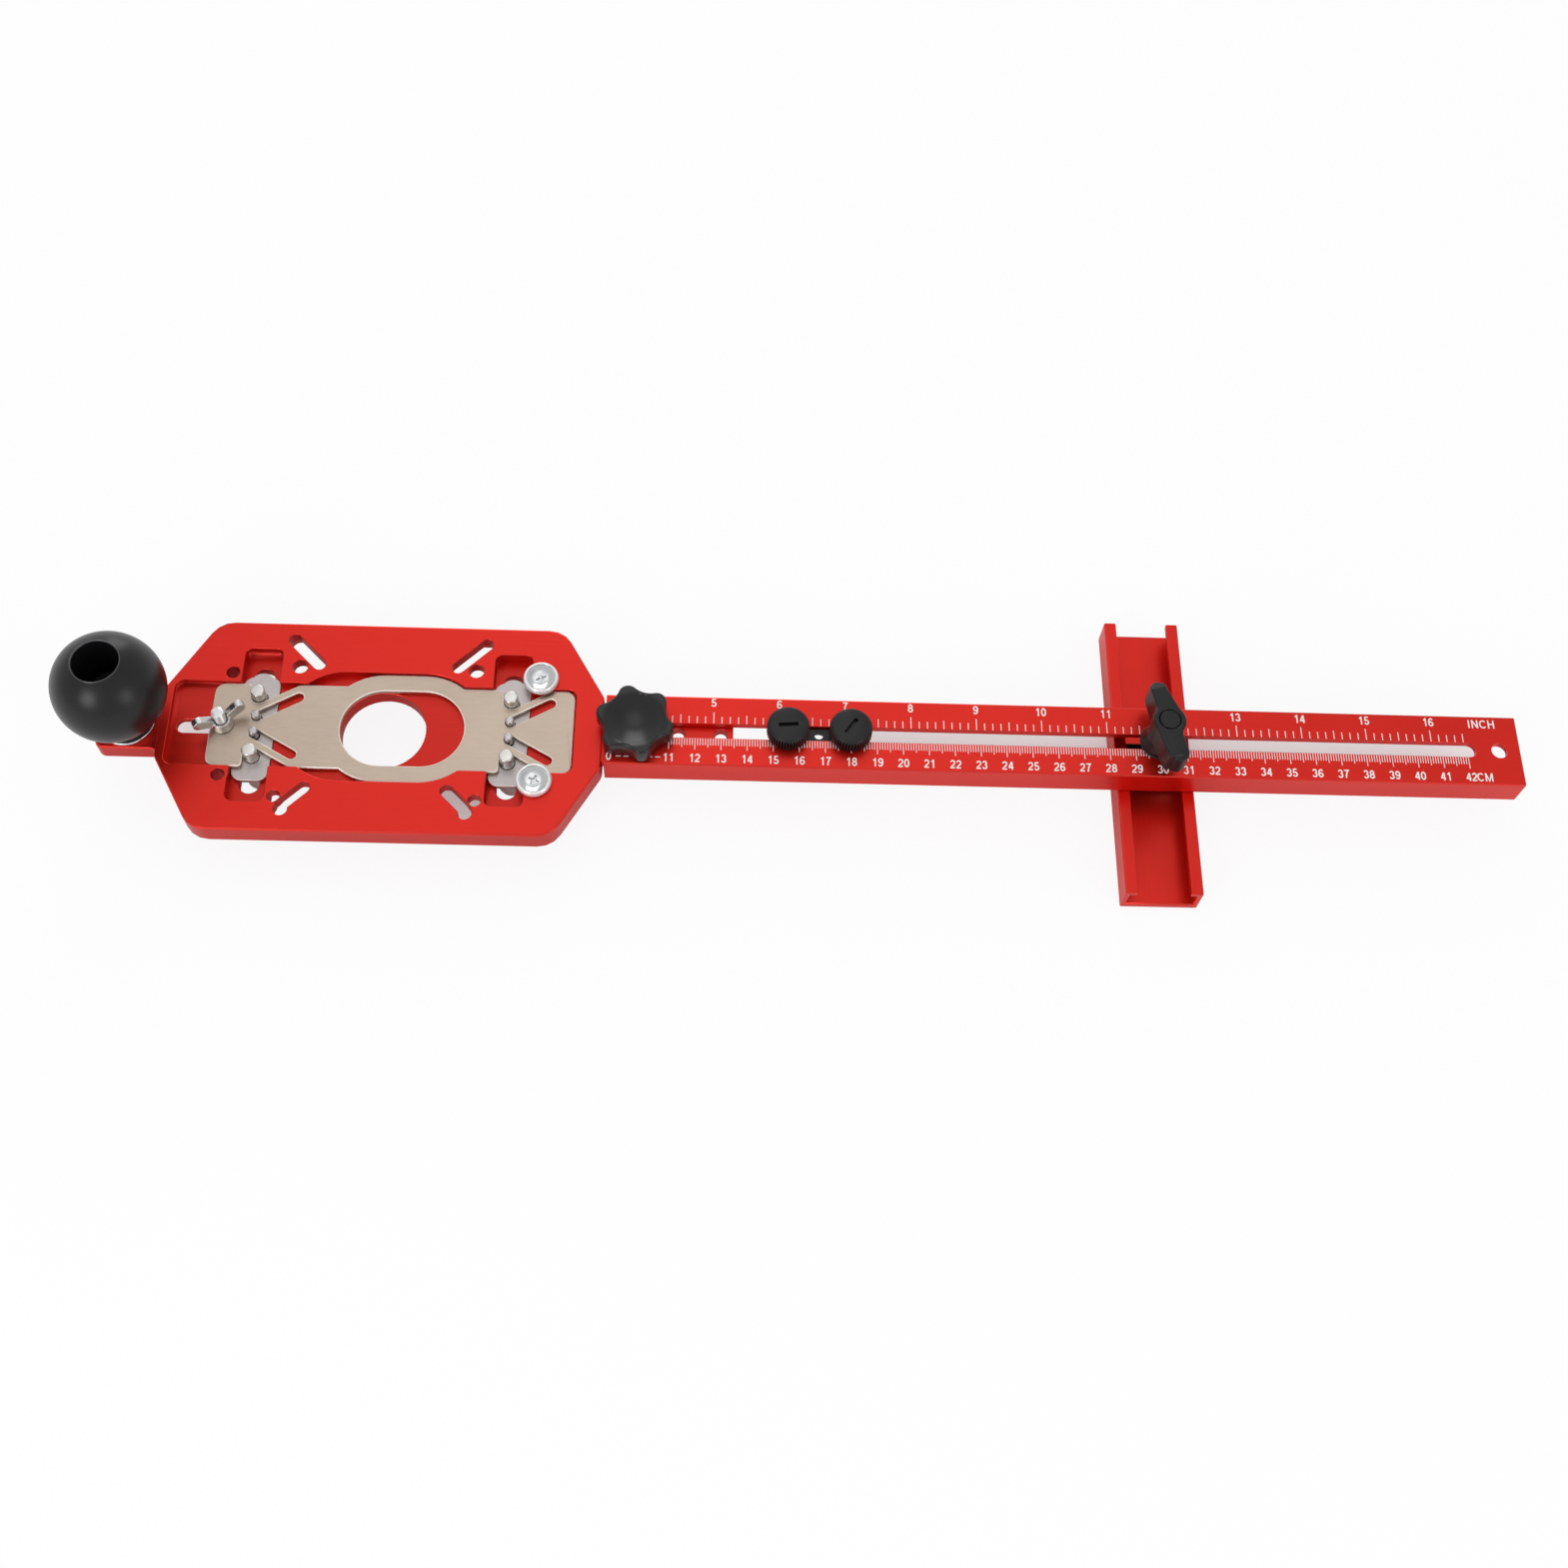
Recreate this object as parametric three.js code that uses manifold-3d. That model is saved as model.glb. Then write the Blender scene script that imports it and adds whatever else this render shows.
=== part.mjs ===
// Router bracket: centring base plate with four coupled guide carriages, a slotted ruler bar
// clamped to the plate's tongue, a pivot slider and a cross fence on the bar, and a ball grip.
// Millimetres, +Z up, X along the ruler. The model is drawn about the router bit's axis, which is
// the zero of the ruler's scale, and stands on Z = 0.

import * as THREE from 'three';
import { mergeVertices } from 'three/addons/utils/BufferGeometryUtils.js';
import Module from 'manifold-3d';

const wasm = await Module();
wasm.setup();

// Fits
const seatGap = 0.3;
const runningGap = 0.25;
const endPlay = 0.2;
const cutOverrun = 1;

// Facets
const coarseFacets = 16;
const facetsPerTurn = 20;
const fineFacets = 48;
const ballFacets = 40;
const fullTurn = 2 * Math.PI;
const quarterTurn = Math.PI / 2;

// T-track extrusion, used for both the ruler and the fence
const trackWidth = 30;
const trackHeight = 12.8;
const trackWeb = 2.8;
const trackWall = 2;
const trackLipThickness = 2;
const trackLipWidth = 4.8;
const trackEdgeChamfer = 0.4;

// Ruler bar
const rulerEndGap = 0.9;
const rulerLength = 355.6;
const rulerSlotWidth = 6.2;
const rulerSlotStart = 4.3;
const rulerSlotEnd = 17.2;
const hangHoleRadius = 3.2;
const hangHoleInset = 8.1;

// Fence
const fenceLength = 120;
const fenceFromRulerStart = 214.3;
const fenceShiftY = 1.7;

// Base plate
const plateThickness = 10;
const plateHalfLength = 84.5;
const plateHalfWidth = 45;
const plateEndHalfWidth = 15;
const plateSlant = 17.3;
const plateBroadCornerRadius = 10;
const plateEndCornerRadius = 5;
const plateEdgeChamfer = 0.5;
const bitHoleRadius = 16.35;

// Slide recess and the carriage recesses below it
const slideRecessDepth = 3.5;
const slideRecessClearance = 0.2;
const slideRecessLeftPlay = 0.4;
const slideRecessRightPlay = 0.6;
const slideRecessCornerRadius = 3.5;
const carriageRecessDepth = 5.8;
const carriageRecessCornerRadius = 2.8;
const carriageRecessEndClearance = 0.45;
const postSlotInnerClearance = 0.9;
const postSlotOuterClearance = 2.1;

// Holes through the plate for fitting a router
const radialSlotHalfWidth = 2.5;
const radialSlotInner = 38;
const radialSlotOuter = 53;
const frontRadialSlotOuter = 48;
const frontSlotBulbRadius = 2.7;
const frontSlotBulbX = 34.4;
const frontSlotBulbY = 36;
const rearHoleRadius = 3;
const rearHoleX = 34.1;
const rearHoleY = 25.5;
const frontHoleRadius = 2.5;
const frontHoleX = 37.6;
const frontHoleY = 30.7;

// Relief pockets under the router holes, which keep the screw heads off the board
const reliefX = 31.15;
const reliefY = 32;
const reliefHalfLength = 9.15;
const reliefHalfWidth = 10;
const reliefDepth = 5;
const reliefCornerRadius = 3;

// Handle tab
const tabLength = 23.5;
const tabHalfWidth = 10.9;
const tabDrop = 2;
const tabCornerRadius = 3;
const tabRootFlare = 6;
const tabFilletRadius = 3;

// Tongue in the ruler's channel
const tongueLength = 50.1;
const tongueThickness = 4.3;
const tongueHoleRadius = 2.5;
const tongueHolePitch = 16.4;
const tongueHoleCount = 3;
const tongueLastHoleInset = 4.8;

// Slide plate
const stroke = 15;
const slideThickness = 2;
const slideHalfWidth = 18;
const slideLeftX = -65.5;
const slideRightX = 73;
const slideLeftCornerRadius = 4;
const slideRightCornerRadius = 3.7;
const slideNotchCornerRadius = 1.6;
const slideStrapCornerRadius = 4;
const ringOuterRadius = 23.4;
const ringOpeningRadius = 16.25;
const cornerSlotAngle = Math.PI / 6;
const strapWidth = 2.9;
const lockBoltX = -60.8;

// Carriages
const carriageX = 48.5;
const carriageThickness = 2;
const carriageHalfWidth = 7.05;
const carriageInnerY = 0.6;
const carriageRearOuterY = 22.2;
const carriageFrontOuterY = 22.8;
const carriageOuterRadius = 4;
const carriageInnerRadius = 1;
const carriageLobeRadius = 4.9;
const carriageLobeRise = 1.8;

// Drive pins, guide posts and rollers
const drivePinRadius = 1.7;
const drivePinY = 3.65;
const drivePinStandout = 2.4;
const drivePinDome = 0.5;
const guidePostRadius = 2.75;
const guidePostY = 12.8;
const guidePostStandout = 4.2;
const guidePostChamfer = 0.6;
const guideShoulderRadius = 3.6;
const guideShankRadius = 2.4;
const guideHeadRadius = 4.25;
const guideHeadHeight = 1.8;
const guideHeadChamfer = 0.4;
const rollerRadius = 5;
const rollerEdgeChamfer = 0.5;

// Hold-down screws
const holdScrewX = 59.5;
const holdScrewY = 22.2;
const holdScrewHoleRadius = 2.6;
const holdScrewRimRadius = 6.9;
const holdScrewFaceRadius = 5.75;
const holdScrewRimHeight = 0.9;
const holdScrewHeadHeight = 2.6;
const holdScrewShankLength = 8.2;
const holdScrewCrossWidth = 1.1;
const holdScrewCrossLength = 5.4;
const holdScrewCrossDepth = 1.3;

// Lock bolt and wing nut
const lockBoltRadius = 2.5;
const lockSlotRadius = 3;
const lockWebThickness = 2.7;
const lockPocketHalfWidth = 6;
const lockHeadHalfWidth = 5.7;
const lockHeadHeight = 3;
const lockHeadChamfer = 0.5;
const lockBoltStandout = 9.1;
const lockBoltChamfer = 0.5;
const wingNutHubRadius = 4.6;
const wingNutHubTopRadius = 3.9;
const wingNutHubHeight = 3.8;
const wingNutReach = 10.4;
const wingNutTipRise = 9.1;
const wingNutTipRadius = 2.4;
const wingNutRootRise = 2;
const wingNutRootRadius = 1.7;
const wingNutThickness = 2.8;
const wingNutAzimuth = Math.PI / 6;

// Ball grip
const gripFromPlateEnd = 12.17;
const ballRadius = 20.8;
const ballCentreRise = 22.4;
const ballBoreRadius = 8.5;
const ballBoreDepth = 27;
const ballFootRadius = 10.2;
const ballNeckRadius = 9.6;
const ballFootHeight = 1.4;
const ballFootChamfer = 0.4;
const gripWasherRadius = 11;
const gripWasherThickness = 2.6;
const gripBoltRadius = 4;
const gripBoltHeadRadius = 6.5;
const gripBoltHeadHeight = 8;
const gripBoltSocketRadius = 3.4;
const gripBoltSocketDepth = 4;
const gripBoltEndClearance = 0.4;

// Star knob
const starLobes = 6;
const starReach = 15.2;
const starLobeRadius = 3.7;
const starWaistRadius = 12.35;
const starRise = 0.7;
const starBodyHeight = 7.8;
const starEdgeRadius = 0.9;
const starDishRadius = 10.9;
const starDishDepth = 2.6;
const starHumpRadius = 6.2;
const starHumpHeight = 2.3;
const starHumpCrownRadius = 2.8;
const starHumpCrownDrop = 0.4;
const starBossRadius = 7.5;
const starStudDepth = 4.6;
const starStudTailLength = 6.8;
const starAzimuth = Math.PI / 4;

// Pivot slider and its two thumb screws
const sliderFromRulerStart = 82.2;
const sliderScrewSpacing = 24.1;
const sliderFlangeThickness = 3;
const sliderFlangeOverhang = 5;
const sliderFlangeChamfer = 0.5;
const sliderKeyDrop = 1.4;
const pivotHoleRadius = 1.7;
const pivotBoreRadius = 2.6;
const pivotWebThickness = 2;
const thumbRadius = 8.4;
const thumbHeight = 7.5;
const thumbRibs = 32;
const thumbRibDepth = 0.45;
const thumbEdgeHeight = 0.8;
const thumbEdgeInset = 0.6;
const thumbSlotLength = 7.6;
const thumbSlotWidth = 1.7;
const thumbSlotDepth = 1.6;
const thumbStudRadius = 1.9;
const thumbStudEmbed = 4;
const leftThumbAngle = 4 * Math.PI / 180;
const rightThumbAngle = 55 * Math.PI / 180;

// Fence clamp
const clampPlateLength = 15.2;
const clampPlateThickness = 4;
const clampPlateChamfer = 0.4;
const clampWasherRadius = 8;
const clampWasherThickness = 1;
const wingKnobHeight = 17;
const wingKnobHubRadius = 6.4;
const wingKnobFootRadius = 7.8;
const wingKnobReach = 17.4;
const wingKnobTipRadius = 3.2;
const wingKnobFilletRadius = 3;
const wingKnobWingRise = 4;
const wingKnobTipRise = 6.2;
const wingKnobTipSlope = 3.6;
const wingKnobTipDrop = 2.2;
const wingKnobEdgeRadius = 0.6;
const wingKnobCapRadius = 4.2;
const wingKnobCapThickness = 1.4;
const wingKnobStudCover = 3;
const wingKnobAzimuth = 103 * Math.PI / 180;

// Places and levels that follow from the sizes above
const gripX = -plateHalfLength - gripFromPlateEnd;
const rulerStartX = plateHalfLength + rulerEndGap;
const sliderX = rulerStartX + sliderFromRulerStart;
const fenceAxisX = rulerStartX + fenceFromRulerStart;
const rulerBottom = trackHeight + seatGap;
const rulerTop = rulerBottom + trackHeight;
const plateBottom = rulerBottom;
const plateTop = plateBottom + plateThickness;
const slideFloor = plateTop - slideRecessDepth;
const slideBottom = slideFloor + seatGap;
const slideTop = slideBottom + slideThickness;
const carriageFloor = plateTop - carriageRecessDepth;
const carriageBottom = carriageFloor + seatGap;
const carriageTop = carriageBottom + carriageThickness;
const tabTop = plateTop - tabDrop;
const tongueTop = rulerTop - trackWeb - seatGap;
const tongueBottom = tongueTop - tongueThickness;
const channelHalfWidth = trackWidth / 2 - trackWall;
const slotRise = stroke * Math.tan(cornerSlotAngle);
const drivePinSlotHalfWidth = drivePinRadius + runningGap;

// Materials
const redAnodised = { color: 0xc8201c, roughness: 0.38, metalness: 0.75 };
const satinSteel = { color: 0xb3a795, roughness: 0.34, metalness: 0.9 };
const greySteel = { color: 0x9c9a96, roughness: 0.42, metalness: 0.9 };
const zincSteel = { color: 0xc9ccd0, roughness: 0.28, metalness: 0.95 };
const blackPlastic = { color: 0x1b1b1c, roughness: 0.55, metalness: 0 };
const blackSteel = { color: 0x1d1c1c, roughness: 0.45, metalness: 0.5 };

// Points along an arc, both ends included
function arcPoints(x, y, radius, start, end, perTurn = facetsPerTurn) {
  const turns = Math.abs(end - start) / fullTurn;
  const steps = Math.max(2, Math.round(turns * perTurn));
  const points = [];
  for (let step = 0; step <= steps; step += 1) {
    const angle = start + (end - start) * step / steps;
    points.push([x + radius * Math.cos(angle), y + radius * Math.sin(angle)]);
  }
  return points;
}

// Slot outline with round ends about two centres
function slotOutline(x0, y0, x1, y1, radius, perTurn = facetsPerTurn) {
  const along = Math.atan2(y1 - y0, x1 - x0);
  return [
    ...arcPoints(x1, y1, radius, along - quarterTurn, along + quarterTurn, perTurn),
    ...arcPoints(x0, y0, radius, along + quarterTurn, along + 3 * quarterTurn, perTurn),
  ];
}

// Polygon whose corners are listed as x, y and fillet radius
function filletedOutline(corners) {
  const outline = [];
  corners.forEach(([x, y, radius], index) => {
    if (!radius) {
      outline.push([x, y]);
      return;
    }
    const corner = new THREE.Vector2(x, y);
    const before = corners[(index + corners.length - 1) % corners.length];
    const after = corners[(index + 1) % corners.length];
    const back = new THREE.Vector2(before[0], before[1]).sub(corner).normalize();
    const ahead = new THREE.Vector2(after[0], after[1]).sub(corner).normalize();
    const half = Math.acos(THREE.MathUtils.clamp(back.dot(ahead), -1, 1)) / 2;
    const middle = back.clone().add(ahead).normalize();
    const centre = middle.multiplyScalar(radius / Math.sin(half)).add(corner);
    const first = back.multiplyScalar(radius / Math.tan(half)).add(corner).sub(centre);
    const last = ahead.multiplyScalar(radius / Math.tan(half)).add(corner).sub(centre);
    const start = first.angle();
    let sweep = last.angle() - start;
    if (sweep > Math.PI) sweep -= fullTurn;
    if (sweep < -Math.PI) sweep += fullTurn;
    outline.push(...arcPoints(centre.x, centre.y, radius, start, start + sweep));
  });
  return outline;
}

// Rectangle about a centre, with one fillet radius for its corners
function boxOutline(x0, x1, y0, y1, radius = 0) {
  return filletedOutline([[x0, y0, radius], [x1, y0, radius], [x1, y1, radius], [x0, y1, radius]]);
}

// The geometry as a closed solid, without the flat triangles at a lathe's poles
function solidOf(geometry) {
  const bare = new THREE.BufferGeometry();
  bare.setAttribute('position', geometry.getAttribute('position'));
  bare.setIndex(geometry.getIndex());
  const merged = mergeVertices(bare);
  const corners = merged.getIndex().array;
  const kept = [];
  for (let first = 0; first < corners.length; first += 3) {
    const [a, b, c] = corners.slice(first, first + 3);
    if (a !== b && b !== c && c !== a) kept.push(a, b, c);
  }
  const vertProperties = new Float32Array(merged.getAttribute('position').array);
  const triVerts = new Uint32Array(kept);
  return new wasm.Manifold(new wasm.Mesh({ numProp: 3, vertProperties, triVerts }));
}

// Upright prism between two levels, its edges chamfered by the last size
function prism(outline, bottom, top, chamfer = 0) {
  const shape = new THREE.Shape(outline.map(([x, y]) => new THREE.Vector2(x, y)));
  const geometry = new THREE.ExtrudeGeometry(shape, {
    depth: top - bottom - 2 * chamfer,
    bevelEnabled: chamfer > 0,
    bevelThickness: chamfer,
    bevelSize: chamfer,
    bevelOffset: -chamfer,
    bevelSegments: 1,
  });
  return solidOf(geometry.translate(0, 0, bottom + chamfer));
}

// Prism of a cross-section drawn in Y and Z, running along X
function prismAlongX(section, start, end) {
  const shape = new THREE.Shape(section.map(([y, z]) => new THREE.Vector2(y, z)));
  const geometry = new THREE.ExtrudeGeometry(shape, { depth: end - start, bevelEnabled: false });
  const toX = new THREE.Matrix4().makeBasis(
    new THREE.Vector3(0, 1, 0),
    new THREE.Vector3(0, 0, 1),
    new THREE.Vector3(1, 0, 0),
  );
  return solidOf(geometry.translate(0, 0, start).applyMatrix4(toX));
}

// Body turned about Z from radius and height pairs; a ring's profile closes on itself
function turned(profile, perTurn = facetsPerTurn) {
  const onAxis = profile[0][0] === 0;
  const points = profile.map(([radius, height]) => new THREE.Vector2(radius, height));
  if (!onAxis) points.push(points[0].clone());
  return solidOf(new THREE.LatheGeometry(points, perTurn).rotateX(quarterTurn));
}

// Plain round bar, and the tool that cuts a round hole
function bar(radius, bottom, top, perTurn = facetsPerTurn) {
  return turned([[0, bottom], [radius, bottom], [radius, top], [0, top]], perTurn);
}

// Flat ring
function ring(inner, outer, bottom, top, chamfer = 0, perTurn = facetsPerTurn) {
  return turned([
    [inner, bottom],
    [outer - chamfer, bottom],
    [outer, bottom + chamfer],
    [outer, top - chamfer],
    [outer - chamfer, top],
    [inner, top],
  ].filter((point, index) => chamfer > 0 || (index !== 1 && index !== 4)), perTurn);
}

// One piece of the product as a named mesh, its geometry about its own place
function piece(name, solid, look, x = 0, y = 0, turn = 0) {
  const { vertProperties, triVerts } = solid.getMesh();
  const geometry = new THREE.BufferGeometry();
  geometry.setAttribute('position', new THREE.BufferAttribute(new Float32Array(vertProperties), 3));
  geometry.setIndex(new THREE.BufferAttribute(new Uint32Array(triVerts), 1));
  geometry.computeVertexNormals();
  const mesh = new THREE.Mesh(geometry, new THREE.MeshStandardMaterial({ ...look, flatShading: true }));
  mesh.name = name;
  mesh.position.set(x, y, 0);
  mesh.rotation.z = turn;
  return mesh;
}

function group(...children) {
  const holder = new THREE.Group();
  holder.add(...children);
  return holder;
}

// T-track section: web on one side, two lips round the mouth on the other
function trackSection(webBelow) {
  const half = trackWidth / 2;
  const mouth = half - trackLipWidth;
  const chamfer = trackEdgeChamfer;
  const section = [
    [-mouth, 0],
    [-mouth, trackLipThickness],
    [-channelHalfWidth, trackLipThickness],
    [-channelHalfWidth, trackHeight - trackWeb],
    [channelHalfWidth, trackHeight - trackWeb],
    [channelHalfWidth, trackLipThickness],
    [mouth, trackLipThickness],
    [mouth, 0],
    [half - chamfer, 0],
    [half, chamfer],
    [half, trackHeight - chamfer],
    [half - chamfer, trackHeight],
    [chamfer - half, trackHeight],
    [-half, trackHeight - chamfer],
    [-half, chamfer],
    [chamfer - half, 0],
  ];
  return webBelow ? section.map(([across, up]) => [-across, trackHeight - up]) : section;
}

// Base plate with tab, tongue, recesses and holes
function plateOutline() {
  const broadX = plateHalfLength - plateSlant;
  return filletedOutline([
    [-plateHalfLength, -plateEndHalfWidth, plateEndCornerRadius],
    [-broadX, -plateHalfWidth, plateBroadCornerRadius],
    [broadX, -plateHalfWidth, plateBroadCornerRadius],
    [plateHalfLength, -plateEndHalfWidth, plateEndCornerRadius],
    [plateHalfLength, plateEndHalfWidth, plateEndCornerRadius],
    [broadX, plateHalfWidth, plateBroadCornerRadius],
    [-broadX, plateHalfWidth, plateBroadCornerRadius],
    [-plateHalfLength, plateEndHalfWidth, plateEndCornerRadius],
  ]);
}

// The tab's root flares into the plate's slanted ends
function tabSolid() {
  const slope = (plateHalfWidth - plateEndHalfWidth) / plateSlant;
  const rootY = tabHalfWidth + tabRootFlare;
  const rootX = -plateHalfLength + (rootY - plateEndHalfWidth) / slope;
  const endX = -plateHalfLength - tabLength;
  const innerX = -plateHalfLength + plateSlant;
  return prism(filletedOutline([
    [innerX, -rootY, 0],
    [rootX, -rootY, 0],
    [-plateHalfLength, -tabHalfWidth, tabFilletRadius],
    [endX, -tabHalfWidth, tabCornerRadius],
    [endX, tabHalfWidth, tabCornerRadius],
    [-plateHalfLength, tabHalfWidth, tabFilletRadius],
    [rootX, rootY, 0],
    [innerX, rootY, 0],
  ]), plateBottom, tabTop, plateEdgeChamfer);
}

function tongueHoleXs() {
  const lastX = plateHalfLength + tongueLength - tongueLastHoleInset;
  const places = [];
  for (let index = 0; index < tongueHoleCount; index += 1) {
    places.push(lastX - index * tongueHolePitch);
  }
  return places.reverse();
}

function tongueSolid() {
  const halfWidth = channelHalfWidth - seatGap;
  const root = plateHalfLength - plateEndCornerRadius;
  const outline = boxOutline(root, plateHalfLength + tongueLength, -halfWidth, halfWidth);
  return prism(outline, tongueBottom, tongueTop);
}

// Room for the slide plate: its own strip and the ring's bulge, each long enough for the stroke
function slideRecess() {
  const halfWidth = slideHalfWidth + slideRecessClearance;
  const leftX = slideLeftX - stroke - slideRecessLeftPlay;
  const rightX = slideRightX + slideRecessRightPlay;
  const bulgeRadius = ringOuterRadius + seatGap;
  const top = plateTop + cutOverrun;
  const strip = boxOutline(leftX, rightX, -halfWidth, halfWidth, slideRecessCornerRadius);
  const bulge = slotOutline(-stroke, 0, stroke, 0, bulgeRadius, fineFacets);
  return prism(strip, slideFloor, top).add(prism(bulge, slideFloor, top));
}

function carriageRecess() {
  const halfWidth = carriageHalfWidth + seatGap;
  const reach = carriageRearOuterY + carriageLobeRise + slotRise + carriageRecessEndClearance;
  const outline = boxOutline(-halfWidth, halfWidth, -reach, reach, carriageRecessCornerRadius);
  return prism(outline, carriageFloor, plateTop + cutOverrun);
}

// Slot in the carriage recess floor that the guide post's shoulder runs in
function postSlot(side) {
  const inner = guidePostY - postSlotInnerClearance + seatGap;
  const outer = guidePostY + slotRise + postSlotOuterClearance - seatGap;
  const radius = guideShoulderRadius + seatGap;
  const outline = slotOutline(0, side * inner, 0, side * outer, radius);
  return prism(outline, plateBottom - cutOverrun, carriageFloor + cutOverrun);
}

function lockSlot() {
  const pocketTop = slideFloor - lockWebThickness;
  const endX = lockBoltX - stroke;
  const slot = slotOutline(endX, 0, lockBoltX, 0, lockSlotRadius);
  const reach = lockHeadHalfWidth + seatGap;
  const pocket = boxOutline(endX - reach, lockBoltX + reach, -lockPocketHalfWidth, lockPocketHalfWidth);
  return prism(slot, plateBottom - cutOverrun, plateTop)
    .add(prism(pocket, plateBottom - cutOverrun, pocketTop));
}

function throughHole(x, y, radius, perTurn = coarseFacets) {
  const tool = bar(radius, plateBottom - cutOverrun, plateTop + cutOverrun, perTurn);
  return tool.translate([x, y, 0]);
}

function reliefPocket(sideX, sideY) {
  const outline = boxOutline(
    -reliefHalfLength,
    reliefHalfLength,
    -reliefHalfWidth,
    reliefHalfWidth,
    reliefCornerRadius,
  );
  const pocket = prism(outline, plateBottom - cutOverrun, plateBottom + reliefDepth);
  return pocket.translate([sideX * reliefX, sideY * reliefY, 0]);
}

function radialSlot(sideX, sideY, outerRadius) {
  const inner = radialSlotInner * Math.SQRT1_2;
  const outer = outerRadius * Math.SQRT1_2;
  const outline = slotOutline(
    sideX * inner,
    sideY * inner,
    sideX * outer,
    sideY * outer,
    radialSlotHalfWidth,
    coarseFacets,
  );
  return prism(outline, plateBottom - cutOverrun, plateTop + cutOverrun);
}

function basePlate() {
  let solid = prism(plateOutline(), plateBottom, plateTop, plateEdgeChamfer);
  solid = solid.add(tabSolid()).add(tongueSolid());
  const cuts = [slideRecess(), lockSlot(), throughHole(0, 0, bitHoleRadius, fineFacets)];
  for (const side of [-1, 1]) {
    cuts.push(carriageRecess().translate([side * carriageX, 0, 0]));
    cuts.push(postSlot(-1).translate([side * carriageX, 0, 0]));
    cuts.push(postSlot(1).translate([side * carriageX, 0, 0]));
    cuts.push(reliefPocket(side, 1), reliefPocket(side, -1));
    cuts.push(radialSlot(side, 1, radialSlotOuter));
    cuts.push(radialSlot(side, -1, frontRadialSlotOuter));
    cuts.push(throughHole(side * frontSlotBulbX, -frontSlotBulbY, frontSlotBulbRadius));
    cuts.push(throughHole(side * rearHoleX, rearHoleY, rearHoleRadius));
    cuts.push(throughHole(side * frontHoleX, -frontHoleY, frontHoleRadius));
    cuts.push(throughHole(side * holdScrewX, holdScrewY, holdScrewHoleRadius));
    cuts.push(throughHole(side * holdScrewX, -holdScrewY, holdScrewHoleRadius));
  }
  for (const x of tongueHoleXs()) cuts.push(throughHole(x, 0, tongueHoleRadius));
  cuts.push(throughHole(gripX, 0, gripBoltRadius + seatGap));
  for (const cut of cuts) solid = solid.subtract(cut);
  return solid;
}

// Upper half of one post notch: down beside the post, round under it and out along the strap
function notchCorners(postX) {
  const strapOffset = drivePinSlotHalfWidth + strapWidth;
  const postOffset = (guidePostY - drivePinY) * Math.cos(cornerSlotAngle);
  const radius = postOffset - strapOffset;
  const strapTopX = (slideHalfWidth - drivePinY - strapOffset / Math.cos(cornerSlotAngle))
    / Math.tan(cornerSlotAngle);
  const round = arcPoints(postX, guidePostY, radius, Math.PI, fullTurn - quarterTurn + cornerSlotAngle);
  return [
    [postX - radius, slideHalfWidth, slideNotchCornerRadius],
    ...round.map(([x, y]) => [x, y, 0]),
    [postX + strapTopX, slideHalfWidth, slideStrapCornerRadius],
  ];
}

// Slide plate: V-slotted ends that drive the carriages, and a ring round the router bit
function slideOutline() {
  const ringAngle = Math.asin(slideHalfWidth / ringOuterRadius);
  const leftArc = arcPoints(0, 0, ringOuterRadius, Math.PI - ringAngle, quarterTurn, fineFacets);
  const rightArc = arcPoints(stroke, 0, ringOuterRadius, quarterTurn, ringAngle, fineFacets);
  const upper = [
    [slideLeftX, slideHalfWidth, slideLeftCornerRadius],
    ...notchCorners(-carriageX),
    ...[...leftArc, ...rightArc].map(([x, y]) => [x, y, 0]),
    ...notchCorners(carriageX),
    [slideRightX, slideHalfWidth, slideRightCornerRadius],
  ];
  const lower = [...upper].reverse().map(([x, y, radius]) => [x, -y, radius]);
  return filletedOutline([...upper, ...lower].reverse());
}

function drivePinSlot(postX, side) {
  const play = endPlay * Math.tan(cornerSlotAngle);
  const outline = slotOutline(
    postX,
    side * drivePinY,
    postX + stroke + endPlay,
    side * (drivePinY + slotRise + play),
    drivePinSlotHalfWidth,
  );
  return prism(outline, slideBottom - cutOverrun, slideTop + cutOverrun);
}

function slidePlate() {
  let solid = prism(slideOutline(), slideBottom, slideTop);
  const opening = slotOutline(0, 0, stroke, 0, ringOpeningRadius, fineFacets);
  solid = solid.subtract(prism(opening, slideBottom - cutOverrun, slideTop + cutOverrun));
  for (const postX of [-carriageX, carriageX]) {
    solid = solid.subtract(drivePinSlot(postX, 1)).subtract(drivePinSlot(postX, -1));
  }
  const boltHole = bar(lockBoltRadius + seatGap, slideBottom - cutOverrun, slideTop + cutOverrun);
  return solid.subtract(boltHole.translate([lockBoltX, 0, 0]));
}

// Carriage plate about X = 0, on the rear side; the front one is turned half round without the lobe
function carriagePlate(isRear) {
  const outerY = isRear ? carriageRearOuterY : carriageFrontOuterY;
  let solid = prism(filletedOutline([
    [-carriageHalfWidth, carriageInnerY, carriageInnerRadius],
    [carriageHalfWidth, carriageInnerY, carriageInnerRadius],
    [carriageHalfWidth, outerY, carriageOuterRadius],
    [-carriageHalfWidth, outerY, carriageOuterRadius],
  ]), carriageBottom, carriageTop);
  if (isRear) {
    const lobeY = outerY + carriageLobeRise - carriageLobeRadius;
    const lobe = bar(carriageLobeRadius, carriageBottom, carriageTop);
    solid = solid.add(lobe.translate([0, lobeY, 0]));
  }
  const pinHole = bar(drivePinRadius + seatGap, carriageBottom - cutOverrun, carriageTop + cutOverrun);
  const postHole = bar(guidePostRadius + seatGap, carriageBottom - cutOverrun, carriageTop + cutOverrun);
  return solid
    .subtract(pinHole.translate([0, drivePinY, 0]))
    .subtract(postHole.translate([0, guidePostY, 0]));
}

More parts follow.
